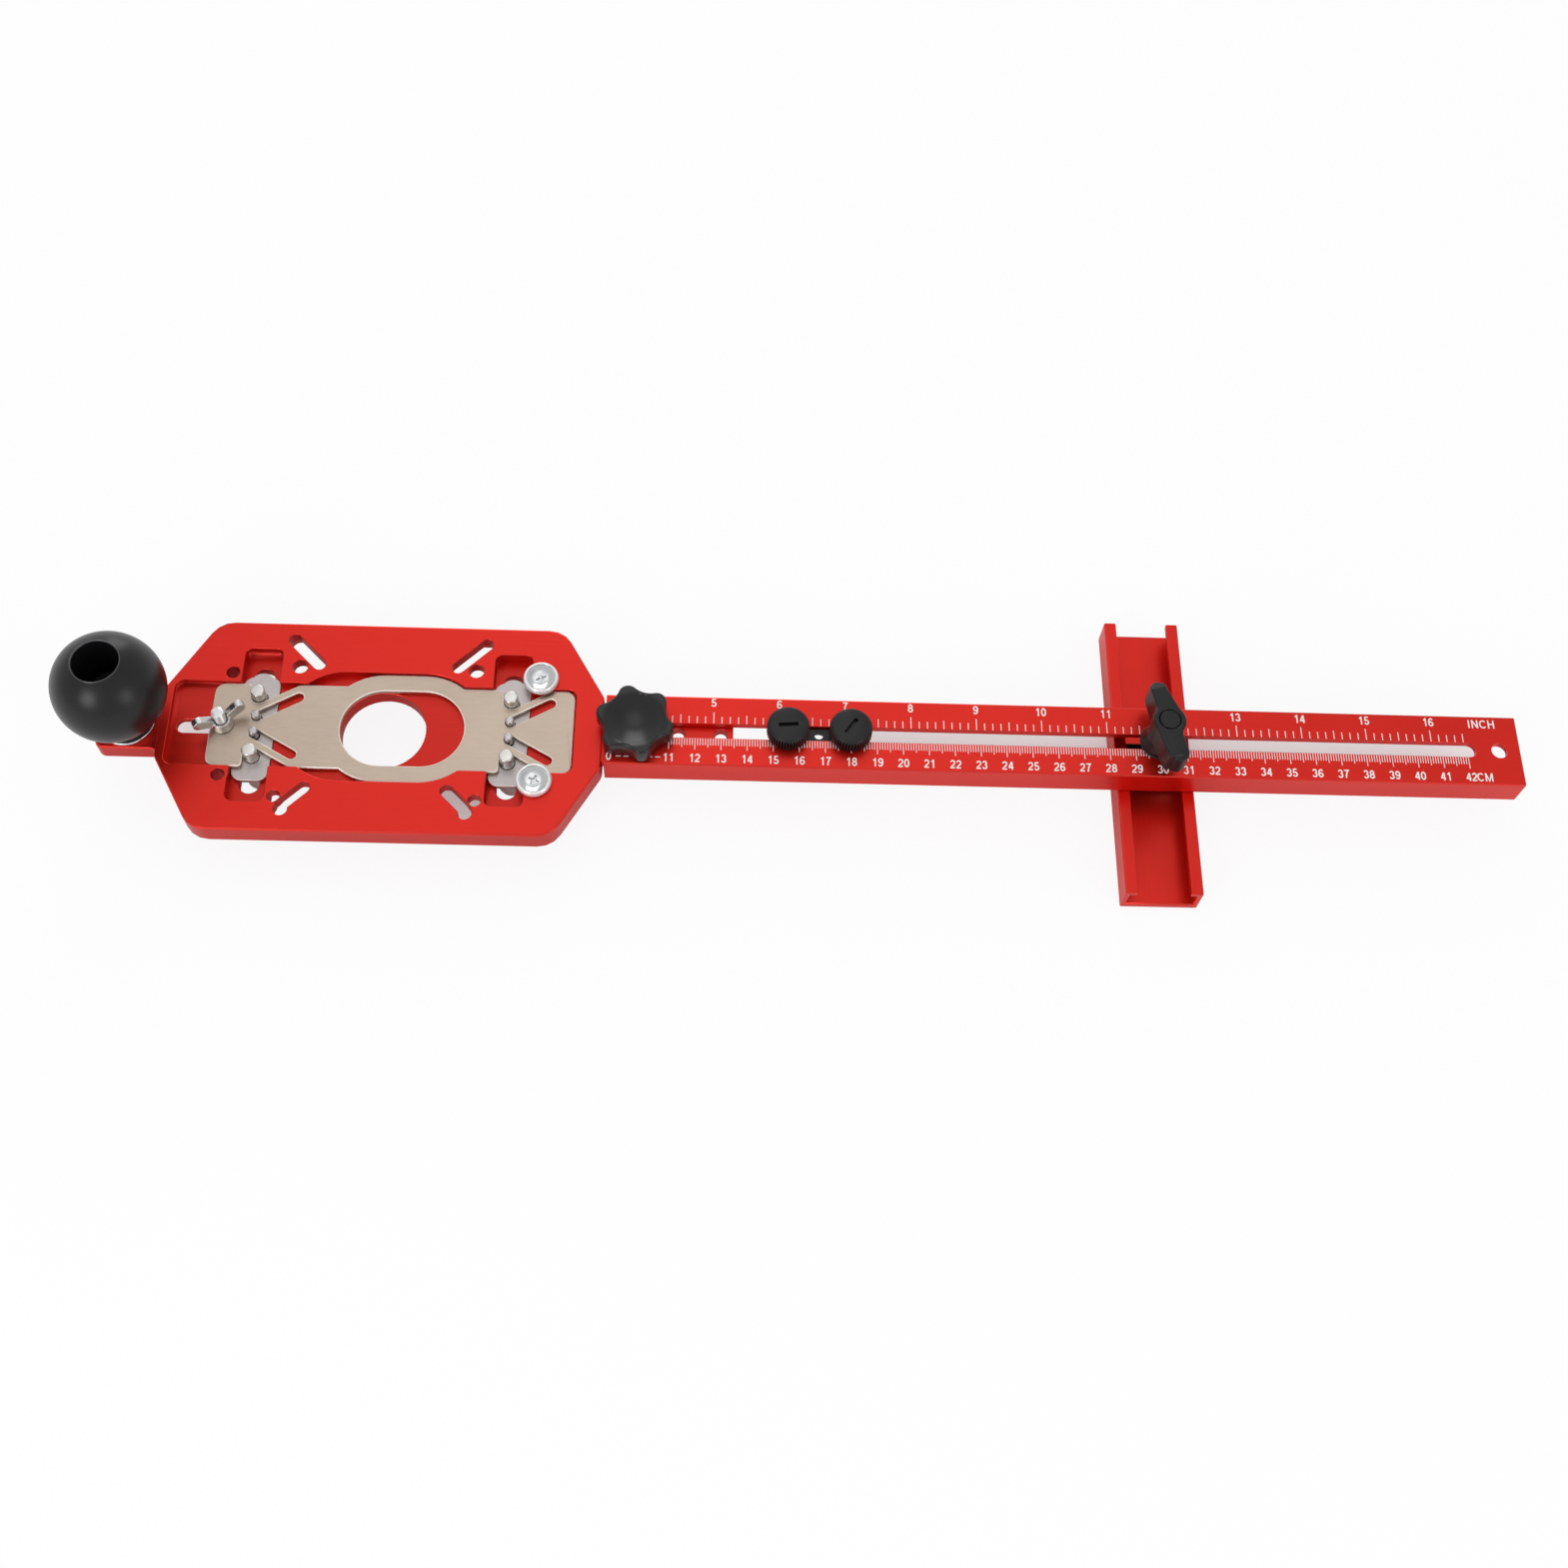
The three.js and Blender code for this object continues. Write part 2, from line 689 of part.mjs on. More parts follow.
function drivePin() {
  const top = slideTop + drivePinStandout;
  return turned([
    [0, carriageBottom],
    [drivePinRadius, carriageBottom],
    [drivePinRadius, top - drivePinDome],
    [drivePinRadius - drivePinDome, top],
    [0, top],
  ], coarseFacets);
}

// Post through the carriage, with a shoulder in the plate's slot, a shank and a head that is a foot
function guidePost() {
  const top = slideTop + guidePostStandout;
  const shoulderBottom = plateBottom;
  const shoulderTop = carriageBottom - seatGap;
  return turned([
    [0, 0],
    [guideHeadRadius - guideHeadChamfer, 0],
    [guideHeadRadius, guideHeadChamfer],
    [guideHeadRadius, guideHeadHeight],
    [guideShankRadius, guideHeadHeight],
    [guideShankRadius, shoulderBottom],
    [guideShoulderRadius, shoulderBottom],
    [guideShoulderRadius, shoulderTop],
    [guidePostRadius, shoulderTop],
    [guidePostRadius, top - guidePostChamfer],
    [guidePostRadius - guidePostChamfer, top],
    [0, top],
  ], coarseFacets);
}

function guideRoller() {
  const bottom = guideHeadHeight + seatGap;
  const top = plateBottom - seatGap;
  return ring(guideShankRadius + runningGap, rollerRadius, bottom, top, rollerEdgeChamfer);
}

function carriage(place, x, isRear) {
  const holder = group(
    piece(`${place}_carriage_plate`, carriagePlate(isRear), greySteel),
    piece(`${place}_drive_pin`, drivePin(), zincSteel, 0, drivePinY),
    piece(`${place}_guide_post`, guidePost(), zincSteel, 0, guidePostY),
    piece(`${place}_guide_roller`, guideRoller(), greySteel, 0, guidePostY),
  );
  holder.position.x = x;
  holder.rotation.z = isRear ? 0 : Math.PI;
  return holder;
}

// Wide screw whose rim holds the slide plate down
function holdScrew() {
  const bottom = plateTop + seatGap;
  const top = bottom + holdScrewHeadHeight;
  const shankRadius = holdScrewHoleRadius - seatGap;
  const tip = bottom - holdScrewShankLength;
  const recess = top - holdScrewCrossDepth;
  const head = turned([
    [0, tip],
    [shankRadius - seatGap, tip],
    [shankRadius, tip + seatGap],
    [shankRadius, bottom],
    [holdScrewRimRadius, bottom],
    [holdScrewRimRadius, bottom + holdScrewRimHeight],
    [holdScrewFaceRadius, top - seatGap],
    [holdScrewFaceRadius - seatGap, top],
    [0, top],
  ]);
  const long = holdScrewCrossLength / 2;
  const wide = holdScrewCrossWidth / 2;
  return head
    .subtract(prism(boxOutline(-long, long, -wide, wide), recess, top + cutOverrun))
    .subtract(prism(boxOutline(-wide, wide, -long, long), recess, top + cutOverrun));
}

function lockBolt() {
  const headTop = slideFloor - lockWebThickness - seatGap;
  const headBottom = headTop - lockHeadHeight;
  const top = slideTop + lockBoltStandout;
  const half = lockHeadHalfWidth;
  const head = prism(boxOutline(-half, half, -half, half), headBottom, headTop, lockHeadChamfer);
  const shank = turned([
    [0, headTop - lockHeadHeight / 2],
    [lockBoltRadius, headTop - lockHeadHeight / 2],
    [lockBoltRadius, top - lockBoltChamfer],
    [lockBoltRadius - lockBoltChamfer, top],
    [0, top],
  ]);
  return head.add(shank);
}

// Wing nut: conical hub with two wings that rise from the hub to rounded tips
function wingNut() {
  const bottom = slideTop + seatGap;
  const boreRadius = lockBoltRadius + seatGap;
  const hub = turned([
    [0, bottom],
    [wingNutHubRadius, bottom],
    [wingNutHubTopRadius, bottom + wingNutHubHeight],
    [0, bottom + wingNutHubHeight],
  ]);
  const tipX = wingNutReach - wingNutTipRadius;
  const tipZ = bottom + wingNutTipRise - wingNutTipRadius;
  const rootZ = bottom + wingNutRootRise;
  const lean = Math.atan2(tipZ - rootZ, tipX);
  const outline = [
    ...arcPoints(0, rootZ, wingNutRootRadius, lean + quarterTurn, lean + 3 * quarterTurn, coarseFacets),
    ...arcPoints(tipX, tipZ, wingNutTipRadius, lean - quarterTurn, lean + quarterTurn, coarseFacets),
  ];
  const shape = new THREE.Shape(outline.map(([x, z]) => new THREE.Vector2(x, z)));
  const upright = new THREE.ExtrudeGeometry(shape, { depth: wingNutThickness, bevelEnabled: false });
  upright.translate(0, 0, -wingNutThickness / 2).rotateX(quarterTurn);
  const wing = solidOf(upright);
  const bore = bar(boreRadius, bottom - cutOverrun, tipZ + wingNutTipRise);
  return hub.add(wing).add(wing.rotate([0, 0, 180])).subtract(bore);
}

// Ball grip with a foot below and a bore above for its bolt
function ballGrip() {
  const bottom = tabTop + seatGap + gripWasherThickness + seatGap;
  const centre = rulerTop + ballCentreRise;
  const rimZ = centre + Math.sqrt(ballRadius ** 2 - ballBoreRadius ** 2);
  const floorZ = rimZ - ballBoreDepth;
  const neckAngle = -Math.acos(ballNeckRadius / ballRadius);
  const rimAngle = Math.acos(ballBoreRadius / ballRadius);
  const boltHole = gripBoltRadius + seatGap;
  return turned([
    [boltHole, bottom],
    [ballFootRadius - ballFootChamfer, bottom],
    [ballFootRadius, bottom + ballFootChamfer],
    [ballFootRadius, bottom + ballFootHeight - ballFootChamfer],
    [ballNeckRadius, bottom + ballFootHeight],
    ...arcPoints(0, centre, ballRadius, neckAngle, rimAngle, ballFacets),
    [ballBoreRadius, floorZ],
    [boltHole, floorZ],
  ], ballFacets);
}

function gripBolt() {
  const rimZ = rulerTop + ballCentreRise + Math.sqrt(ballRadius ** 2 - ballBoreRadius ** 2);
  const headBottom = rimZ - ballBoreDepth + seatGap;
  const headTop = headBottom + gripBoltHeadHeight;
  const tip = plateBottom + gripBoltEndClearance;
  return turned([
    [0, tip],
    [gripBoltRadius, tip],
    [gripBoltRadius, headBottom],
    [gripBoltHeadRadius, headBottom],
    [gripBoltHeadRadius, headTop],
    [gripBoltSocketRadius, headTop],
    [gripBoltSocketRadius, headTop - gripBoltSocketDepth],
    [0, headTop - gripBoltSocketDepth],
  ], coarseFacets);
}

// Star outline: each lobe's arc meets the waist arcs beside it in a tangent
function starOutline() {
  const pitch = fullTurn / starLobes;
  const lobeCentre = starReach - starLobeRadius;
  const spread = Math.cos(pitch / 2);
  const waistRadius = (starLobeRadius ** 2 - lobeCentre ** 2 - starWaistRadius ** 2
    + 2 * lobeCentre * starWaistRadius * spread)
    / (2 * (starWaistRadius - lobeCentre * spread - starLobeRadius));
  const waistCentre = starWaistRadius + waistRadius;
  const meet = Math.atan2(
    waistCentre * Math.sin(pitch / 2),
    waistCentre * spread - lobeCentre,
  );
  const outline = [];
  for (let lobe = 0; lobe < starLobes; lobe += 1) {
    const angle = lobe * pitch;
    const x = lobeCentre * Math.cos(angle);
    const y = lobeCentre * Math.sin(angle);
    outline.push(...arcPoints(x, y, starLobeRadius, angle - meet, angle + meet));
    const waistAngle = angle + pitch / 2;
    const start = angle + meet + Math.PI;
    const sweep = 2 * (pitch / 2 - meet);
    const waist = arcPoints(
      waistCentre * Math.cos(waistAngle),
      waistCentre * Math.sin(waistAngle),
      waistRadius,
      start,
      start + sweep,
    );
    outline.push(...waist.slice(1, -1));
  }
  return outline;
}

// Star with a dished top and a hump in the middle of the dish
function starKnob() {
  const bottom = rulerTop + seatGap;
  const lobeBottom = rulerTop + starRise;
  const lobeTop = lobeBottom + starBodyHeight;
  const dishFloor = lobeTop - starDishDepth;
  const humpTop = dishFloor + starHumpHeight;
  const dish = turned([
    [0, humpTop],
    [starHumpCrownRadius, humpTop - starHumpCrownDrop],
    [starHumpRadius, dishFloor],
    [starDishRadius, lobeTop],
    [starDishRadius, lobeTop + cutOverrun],
    [0, lobeTop + cutOverrun],
  ], ballFacets);
  const stud = bar(
    tongueHoleRadius - seatGap + runningGap,
    bottom - cutOverrun,
    bottom + starStudDepth + seatGap,
    coarseFacets,
  );
  return prism(starOutline(), lobeBottom, lobeTop, starEdgeRadius)
    .add(bar(starBossRadius, bottom, lobeBottom + starEdgeRadius))
    .subtract(dish)
    .subtract(stud);
}

function starStud() {
  const top = rulerTop + seatGap + starStudDepth;
  const bottom = tongueTop - starStudTailLength;
  return bar(tongueHoleRadius - seatGap, bottom, top, coarseFacets);
}

// Slider: a bar that fills the ruler's slot, on a flange that runs under the ruler's web
function sliderHalfLength() {
  return sliderScrewSpacing / 2 + sliderFlangeOverhang;
}

function pivotSlider() {
  const flangeTop = rulerTop - trackWeb - seatGap;
  const flangeBottom = flangeTop - sliderFlangeThickness;
  const halfWidth = channelHalfWidth - seatGap;
  const halfLength = sliderHalfLength();
  const flange = boxOutline(-halfLength, halfLength, -halfWidth, halfWidth);
  const keyRadius = rulerSlotWidth / 2 - seatGap;
  const screwX = sliderScrewSpacing / 2;
  const key = slotOutline(-screwX, 0, screwX, 0, keyRadius);
  const keyTop = rulerTop - sliderKeyDrop;
  let solid = prism(flange, flangeBottom, flangeTop, sliderFlangeChamfer)
    .add(prism(key, flangeTop - sliderFlangeChamfer, keyTop));
  const bottom = flangeBottom - cutOverrun;
  const top = keyTop + cutOverrun;
  solid = solid.subtract(bar(pivotHoleRadius, bottom, top, coarseFacets));
  solid = solid.subtract(bar(pivotBoreRadius, bottom, keyTop - pivotWebThickness, coarseFacets));
  for (const side of [-1, 1]) {
    const hole = bar(thumbStudRadius + runningGap, bottom, top, coarseFacets);
    solid = solid.subtract(hole.translate([side * screwX, 0, 0]));
  }
  return solid;
}

// Ribbed head with a coin slot across its top
function thumbHead() {
  const bottom = rulerTop + seatGap;
  const top = bottom + thumbHeight;
  const shoulder = top - thumbEdgeHeight;
  const ribs = [];
  for (let index = 0; index < 2 * thumbRibs; index += 1) {
    const angle = index * Math.PI / thumbRibs;
    const radius = thumbRadius - (index % 2) * thumbRibDepth;
    ribs.push([radius * Math.cos(angle), radius * Math.sin(angle)]);
  }
  const crownRadius = thumbRadius - thumbRibDepth;
  const crown = turned([
    [0, bottom],
    [crownRadius, bottom],
    [crownRadius, shoulder],
    [crownRadius - thumbEdgeInset, top],
    [0, top],
  ]);
  const long = thumbSlotLength / 2;
  const wide = thumbSlotWidth / 2;
  const slot = prism(boxOutline(-long, long, -wide, wide), top - thumbSlotDepth, top + cutOverrun);
  const socket = bar(
    thumbStudRadius + runningGap,
    bottom - cutOverrun,
    bottom + thumbStudEmbed + seatGap,
    coarseFacets,
  );
  return prism(ribs, bottom, shoulder).add(crown).subtract(slot).subtract(socket);
}

function thumbStud() {
  const top = rulerTop + seatGap + thumbStudEmbed;
  const bottom = rulerTop - trackWeb - seatGap - sliderFlangeThickness;
  return bar(thumbStudRadius, bottom, top, coarseFacets);
}

// Plate in the fence's channel with the stud that rises through the ruler's slot
function clampBolt() {
  const plateZ = trackHeight - trackLipThickness - seatGap;
  const halfWidth = channelHalfWidth - seatGap;
  const halfLength = clampPlateLength / 2;
  const outline = boxOutline(-halfWidth, halfWidth, -halfLength, halfLength);
  const studTop = wingKnobTop() - wingKnobStudCover;
  const studBase = plateZ - clampPlateThickness / 2;
  return prism(outline, plateZ - clampPlateThickness, plateZ, clampPlateChamfer)
    .add(bar(clampStudRadius(), studBase, studTop));
}

function clampStudRadius() {
  return rulerSlotWidth / 2 - seatGap;
}

function wingKnobBottom() {
  return rulerTop + seatGap + clampWasherThickness + seatGap;
}

function wingKnobTop() {
  return wingKnobBottom() + wingKnobHeight;
}

// Plan of the wing knob: round hub and two even wings, with a fillet at each root
function wingKnobPlan() {
  const hub = wingKnobHubRadius;
  const half = wingKnobTipRadius;
  const fillet = wingKnobFilletRadius;
  const tipX = wingKnobReach - half;
  const filletY = half + fillet;
  const filletX = Math.sqrt((hub + fillet) ** 2 - filletY ** 2);
  const lean = Math.atan2(filletY, filletX);
  return [
    ...arcPoints(tipX, 0, half, -quarterTurn, quarterTurn, coarseFacets),
    ...arcPoints(filletX, filletY, fillet, -quarterTurn, lean - Math.PI),
    ...arcPoints(0, 0, hub, lean, Math.PI - lean),
    ...arcPoints(-filletX, filletY, fillet, -lean, -quarterTurn),
    ...arcPoints(-tipX, 0, half, quarterTurn, 3 * quarterTurn, coarseFacets),
    ...arcPoints(-filletX, -filletY, fillet, quarterTurn, lean),
    ...arcPoints(0, 0, hub, Math.PI + lean, fullTurn - lean),
    ...arcPoints(filletX, -filletY, fillet, Math.PI - lean, quarterTurn),
  ];
}

// Side view of the wings: tops fall near the tips and undersides rise towards them
function wingKnobSide() {
  const bottom = wingKnobBottom();
  const top = wingKnobTop();
  const reach = wingKnobReach + cutOverrun;
  const slopeStart = wingKnobReach - wingKnobTipSlope;
  const shape = new THREE.Shape([
    [-reach, bottom + wingKnobTipRise],
    [-wingKnobHubRadius, bottom + wingKnobWingRise],
    [wingKnobHubRadius, bottom + wingKnobWingRise],
    [reach, bottom + wingKnobTipRise],
    [reach, top - wingKnobTipDrop],
    [slopeStart, top],
    [-slopeStart, top],
    [-reach, top - wingKnobTipDrop],
  ].map(([x, z]) => new THREE.Vector2(x, z)));
  const width = 2 * (wingKnobHubRadius + cutOverrun);
  const geometry = new THREE.ExtrudeGeometry(shape, { depth: width, bevelEnabled: false });
  return solidOf(geometry.translate(0, 0, -width / 2).rotateX(quarterTurn));
}

function wingKnob() {
  const bottom = wingKnobBottom();
  const top = wingKnobTop();
  const wings = prism(wingKnobPlan(), bottom, top, wingKnobEdgeRadius).intersect(wingKnobSide());
  const foot = turned([
    [0, bottom],
    [wingKnobFootRadius, bottom],
    [wingKnobHubRadius, bottom + wingKnobWingRise + wingKnobEdgeRadius],
    [0, bottom + wingKnobWingRise + wingKnobEdgeRadius],
  ]);
  const capRecess = bar(wingKnobCapRadius, top - wingKnobCapThickness, top + cutOverrun);
  const studBore = bar(
    clampStudRadius() + runningGap,
    bottom - cutOverrun,
    top - wingKnobCapThickness + seatGap,
  );
  return wings.add(foot).subtract(capRecess).subtract(studBore);
}

function wingKnobCap() {
  const top = wingKnobTop();
  const bottom = top - wingKnobCapThickness + seatGap;
  return bar(wingKnobCapRadius - seatGap, bottom, top);
}

function ruler() {
  const start = rulerStartX;
  const end = start + rulerLength;
  const section = trackSection(false).map(([y, z]) => [y, z + rulerBottom]);
  const slotRadius = rulerSlotWidth / 2;
  const slotStart = start + rulerSlotStart + slotRadius;
  const slotEnd = end - rulerSlotEnd - slotRadius;
  const low = rulerTop - trackWeb - cutOverrun;
  const high = rulerTop + cutOverrun;
  const hangHole = bar(hangHoleRadius, low, high);
  return prismAlongX(section, start, end)
    .subtract(prism(slotOutline(slotStart, 0, slotEnd, 0, slotRadius), low, high))
    .subtract(hangHole.translate([end - hangHoleInset, 0, 0]));
}

function fence() {
  return prismAlongX(trackSection(true), -fenceLength / 2, fenceLength / 2);
}

// Assembly
const basePart = group(
  piece('base_plate', basePlate(), redAnodised),
  piece('front_hold_down_screw', holdScrew(), zincSteel, holdScrewX, -holdScrewY),
  piece('rear_hold_down_screw', holdScrew(), zincSteel, holdScrewX, holdScrewY),
);

const gripPart = group(
  piece('grip_washer', ring(
    gripBoltRadius + seatGap,
    gripWasherRadius,
    tabTop + seatGap,
    tabTop + seatGap + gripWasherThickness,
  ), zincSteel),
  piece('ball_grip', ballGrip(), blackPlastic),
  piece('grip_bolt', gripBolt(), blackSteel),
);
gripPart.position.x = gripX;

const slidePart = group(
  piece('slide_plate', slidePlate(), satinSteel),
  piece('lock_bolt', lockBolt(), zincSteel, lockBoltX),
  piece('wing_nut', wingNut(), zincSteel, lockBoltX, 0, wingNutAzimuth),
);

const carriageParts = group(
  carriage('left_rear', -carriageX, true),
  carriage('left_front', -carriageX, false),
  carriage('right_rear', carriageX, true),
  carriage('right_front', carriageX, false),
);

const starKnobPart = group(
  piece('star_knob', starKnob(), blackPlastic, 0, 0, starAzimuth),
  piece('star_knob_stud', starStud(), zincSteel),
);
starKnobPart.position.x = tongueHoleXs()[0];

const sliderPart = group(
  piece('pivot_slider', pivotSlider(), blackSteel),
  piece('left_thumb_screw_head', thumbHead(), blackPlastic, -sliderScrewSpacing / 2, 0, leftThumbAngle),
  piece('left_thumb_screw_stud', thumbStud(), zincSteel, -sliderScrewSpacing / 2),
  piece('right_thumb_screw_head', thumbHead(), blackPlastic, sliderScrewSpacing / 2, 0, rightThumbAngle),
  piece('right_thumb_screw_stud', thumbStud(), zincSteel, sliderScrewSpacing / 2),
);
sliderPart.position.x = sliderX;

const fencePart = group(
  piece('fence', fence(), redAnodised, 0, fenceShiftY, quarterTurn),
  piece('fence_clamp_bolt', clampBolt(), blackSteel),
  piece('fence_clamp_washer', ring(
    clampStudRadius() + seatGap,
    clampWasherRadius,
    rulerTop + seatGap,
    rulerTop + seatGap + clampWasherThickness,
  ), blackSteel),
  piece('wing_knob', wingKnob(), blackPlastic, 0, 0, wingKnobAzimuth),
  piece('wing_knob_cap', wingKnobCap(), blackPlastic, 0, 0, wingKnobAzimuth),
);
fencePart.position.x = fenceAxisX;

const bracket = group(
  basePart,
  gripPart,
  slidePart,
  carriageParts,
  starKnobPart,
  piece('ruler', ruler(), redAnodised),
  sliderPart,
  fencePart,
);

// The origin is under the middle of the whole part, on the surface it stands on
const extent = new THREE.Box3().setFromObject(bracket, true);
const middle = extent.getCenter(new THREE.Vector3());
bracket.position.set(-middle.x, -middle.y, -extent.min.z);

const part = group(bracket);

export default part;
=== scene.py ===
import math

import bmesh
import bpy
from mathutils import Matrix, Vector
from mathutils.bvhtree import BVHTree


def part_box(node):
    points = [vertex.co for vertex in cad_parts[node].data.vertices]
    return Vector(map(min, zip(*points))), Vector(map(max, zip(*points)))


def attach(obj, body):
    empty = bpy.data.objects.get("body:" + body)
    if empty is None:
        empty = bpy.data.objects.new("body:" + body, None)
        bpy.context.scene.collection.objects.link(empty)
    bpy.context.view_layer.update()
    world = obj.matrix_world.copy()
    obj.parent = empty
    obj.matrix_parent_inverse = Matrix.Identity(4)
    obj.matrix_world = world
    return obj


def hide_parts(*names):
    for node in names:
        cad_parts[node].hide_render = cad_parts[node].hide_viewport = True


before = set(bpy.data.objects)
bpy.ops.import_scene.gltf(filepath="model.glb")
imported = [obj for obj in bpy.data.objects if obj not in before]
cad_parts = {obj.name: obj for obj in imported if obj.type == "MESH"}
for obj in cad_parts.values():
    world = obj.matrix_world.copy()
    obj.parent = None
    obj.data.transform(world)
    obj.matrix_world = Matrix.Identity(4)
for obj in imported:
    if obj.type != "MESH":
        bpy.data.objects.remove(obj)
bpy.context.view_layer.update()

# Sizes, in millimetres from the router bit's axis and from the surface that the part stands on
MM = 0.001
INCH = 25.4
RULER_START = 85.4
RULER_TOP = 25.9
PLATE_TOP = 23.1
SLIDE_TOP = 21.9
HEAD_GAP = 0.3
CARRIAGE_X = 48.5
GUIDE_POST_Y = 12.8
DRIVE_PIN_Y = 3.65
HOLD_SCREW_X = 59.5
HOLD_SCREW_Y = 22.2
LOCK_BOLT_X = -60.8
BALL_X = -96.67
STAR_X = 97.0
SLIDER_X = 167.6
SCREW_SPACING = 24.1
FENCE_X = 299.7
KNOB_TURN = math.radians(103)
PLACES = ("left_rear", "left_front", "right_rear", "right_front")

# Points closer than WELD metres are made one, and faces that lean apart less than FLAT are too
WELD = 1e-7
FLAT = math.radians(0.4)
TINY = 1e-6
TURN = 2 * math.pi
SHARP_DEGREES = 32.0

ORIGIN = Vector((
    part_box("ruler")[0].x - RULER_START * MM,
    (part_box("base_plate")[0].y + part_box("base_plate")[1].y) / 2,
    0.0,
))

# Noise stays mostly between these two values, so colours and roughnesses are spread over them
NOISE_LOW, NOISE_HIGH = 0.3, 0.7
# Height of the grain, in metres, and how much darker the painted shade makes both ends of a colour
GRAIN_HEIGHT = 0.00004
PAINTED_SHADE_DARK, PAINTED_SHADE_LIGHT = 0.80, 0.88
COAT_ROUGHNESS = 0.25
TURNED_SHINE = 0.75
PLASTIC_CLOUDS = 60.0
# Grain per metre along X, Y and Z
DRAWN_ALONG_X = (60, 1500, 1500)
DRAWN_ALONG_Y = (1500, 60, 1500)
BRUSHED = (180, 700, 700)
EVEN = (700, 700, 700)
FINE = (900, 900, 900)


class Nodes:
    """The node tree of a material or a world, with short ways to add to it."""

    def __init__(self, owner):
        self.owner = owner
        owner.use_nodes = True
        self.tree = owner.node_tree
        self.shader = self.tree.nodes.get("Principled BSDF") or self.tree.nodes["Background"]

    def fill(self, node, values):
        """Sets a node's inputs, each from another node's output or to a plain value."""
        for name, value in values.items():
            if isinstance(value, bpy.types.NodeSocket):
                self.tree.links.new(value, node.inputs[name])
            else:
                node.inputs[name].default_value = value
        return node

    def add(self, kind, values=None, **settings):
        node = self.tree.nodes.new(kind)
        for key, value in settings.items():
            setattr(node, key, value)
        return self.fill(node, values or {})

    def coordinates(self, scale=(1, 1, 1)):
        """The object's own coordinates, scaled."""
        place = self.add("ShaderNodeTexCoord").outputs["Object"]
        return self.add("ShaderNodeMapping", {"Scale": scale, "Vector": place}).outputs["Vector"]

    def axis(self, name):
        return self.add("ShaderNodeSeparateXYZ", {0: self.coordinates()}).outputs[name]

    def compute(self, operation, first, second):
        return self.add("ShaderNodeMath", {0: first, 1: second}, operation=operation).outputs[0]

    def noise(self, vector, scale, detail=2.0, roughness=0.5):
        return self.add("ShaderNodeTexNoise", {
            "Vector": vector, "Scale": scale, "Detail": detail, "Roughness": roughness,
        }).outputs["Fac"]

    def ramp(self, factor, *stops):
        """Colours by a factor, each stop a position and a colour."""
        node = self.add("ShaderNodeValToRGB", {"Fac": factor})
        elements = node.color_ramp.elements
        while len(elements) < len(stops):
            elements.new(0.5)
        for element, (position, colour) in zip(elements, stops):
            element.position = position
            element.color = (*colour, 1)
        return node.outputs["Color"]

    def blend(self, noise, low, high):
        return self.ramp(noise, (NOISE_LOW, low), (NOISE_HIGH, high))

    def spread(self, value, low, high, start=NOISE_LOW, end=NOISE_HIGH):
        """Takes a value that runs from start to end to one that runs from low to high."""
        return self.add("ShaderNodeMapRange", {
            "Value": value, "From Min": start, "From Max": end, "To Min": low, "To Max": high,
        }).outputs["Result"]

    def mix(self, factor, first, second):
        """A colour between two colours."""
        node = self.add("ShaderNodeMix", {0: factor}, data_type="RGBA")
        ends = [k for k, socket in enumerate(node.inputs) if socket.type == "RGBA"]
        self.fill(node, dict(zip(ends, (first, second))))
        return next(socket for socket in node.outputs if socket.type == "RGBA")

    def bump(self, height, strength):
        node = self.add("ShaderNodeBump", {
            "Strength": strength, "Distance": GRAIN_HEIGHT, "Height": height,
        })
        self.fill(self.shader, {"Normal": node.outputs["Normal"]})


def metal(name, dark, light, rough, grain=DRAWN_ALONG_X, strength=0.25, coat=0.0, metallic=1.0,
          cloud=30.0, turned=False, painted_shade_below=None):
    """Metal with a drawn grain: streaks in colour, roughness and height, and slow clouds over them.
    Below the given height, in millimetres, the colour is darker: painted shade in hollows and on
    sides."""
    m = Nodes(bpy.data.materials.new(name))
    streaks = m.noise(m.coordinates(grain), 1.0, detail=4.0, roughness=0.6)
    clouds = m.noise(m.coordinates(), cloud)
    half = m.compute("MULTIPLY", m.compute("ADD", streaks, clouds), 0.5)
    colour = m.blend(half, dark, light)
    # Painted shade: below the given height the colour is darker, for hollows and sides in shadow
    if painted_shade_below is not None:
        below = m.compute("LESS_THAN", m.axis("Z"), painted_shade_below * MM)
        shaded = m.blend(half, [c * PAINTED_SHADE_DARK for c in dark], [c * PAINTED_SHADE_LIGHT for c in light])
        colour = m.mix(below, colour, shaded)
    m.fill(m.shader, {
        "Base Color": colour,
        "Roughness": m.spread(half, *rough),
        "Metallic": metallic,
        "Coat Weight": coat,
        "Coat Roughness": COAT_ROUGHNESS,
    })
    m.bump(streaks, strength)
    if turned:
        tangent = m.add("ShaderNodeTangent", direction_type="RADIAL", axis="Z")
        m.fill(m.shader, {"Anisotropic": TURNED_SHINE, "Tangent": tangent.outputs["Tangent"]})
    return m.owner


def plastic(name, dark, light, rough, specular, scale=2600.0, strength=0.2):
    """Moulded plastic: a fine even grain, slightly uneven gloss."""
    m = Nodes(bpy.data.materials.new(name))
    clouds = m.noise(m.coordinates(), PLASTIC_CLOUDS, detail=3.0)
    m.fill(m.shader, {
        "Base Color": m.blend(clouds, dark, light),
        "Roughness": m.spread(clouds, *rough),
        "Specular IOR Level": specular,
    })
    m.bump(m.noise(m.coordinates(), scale), strength)
    return m.owner


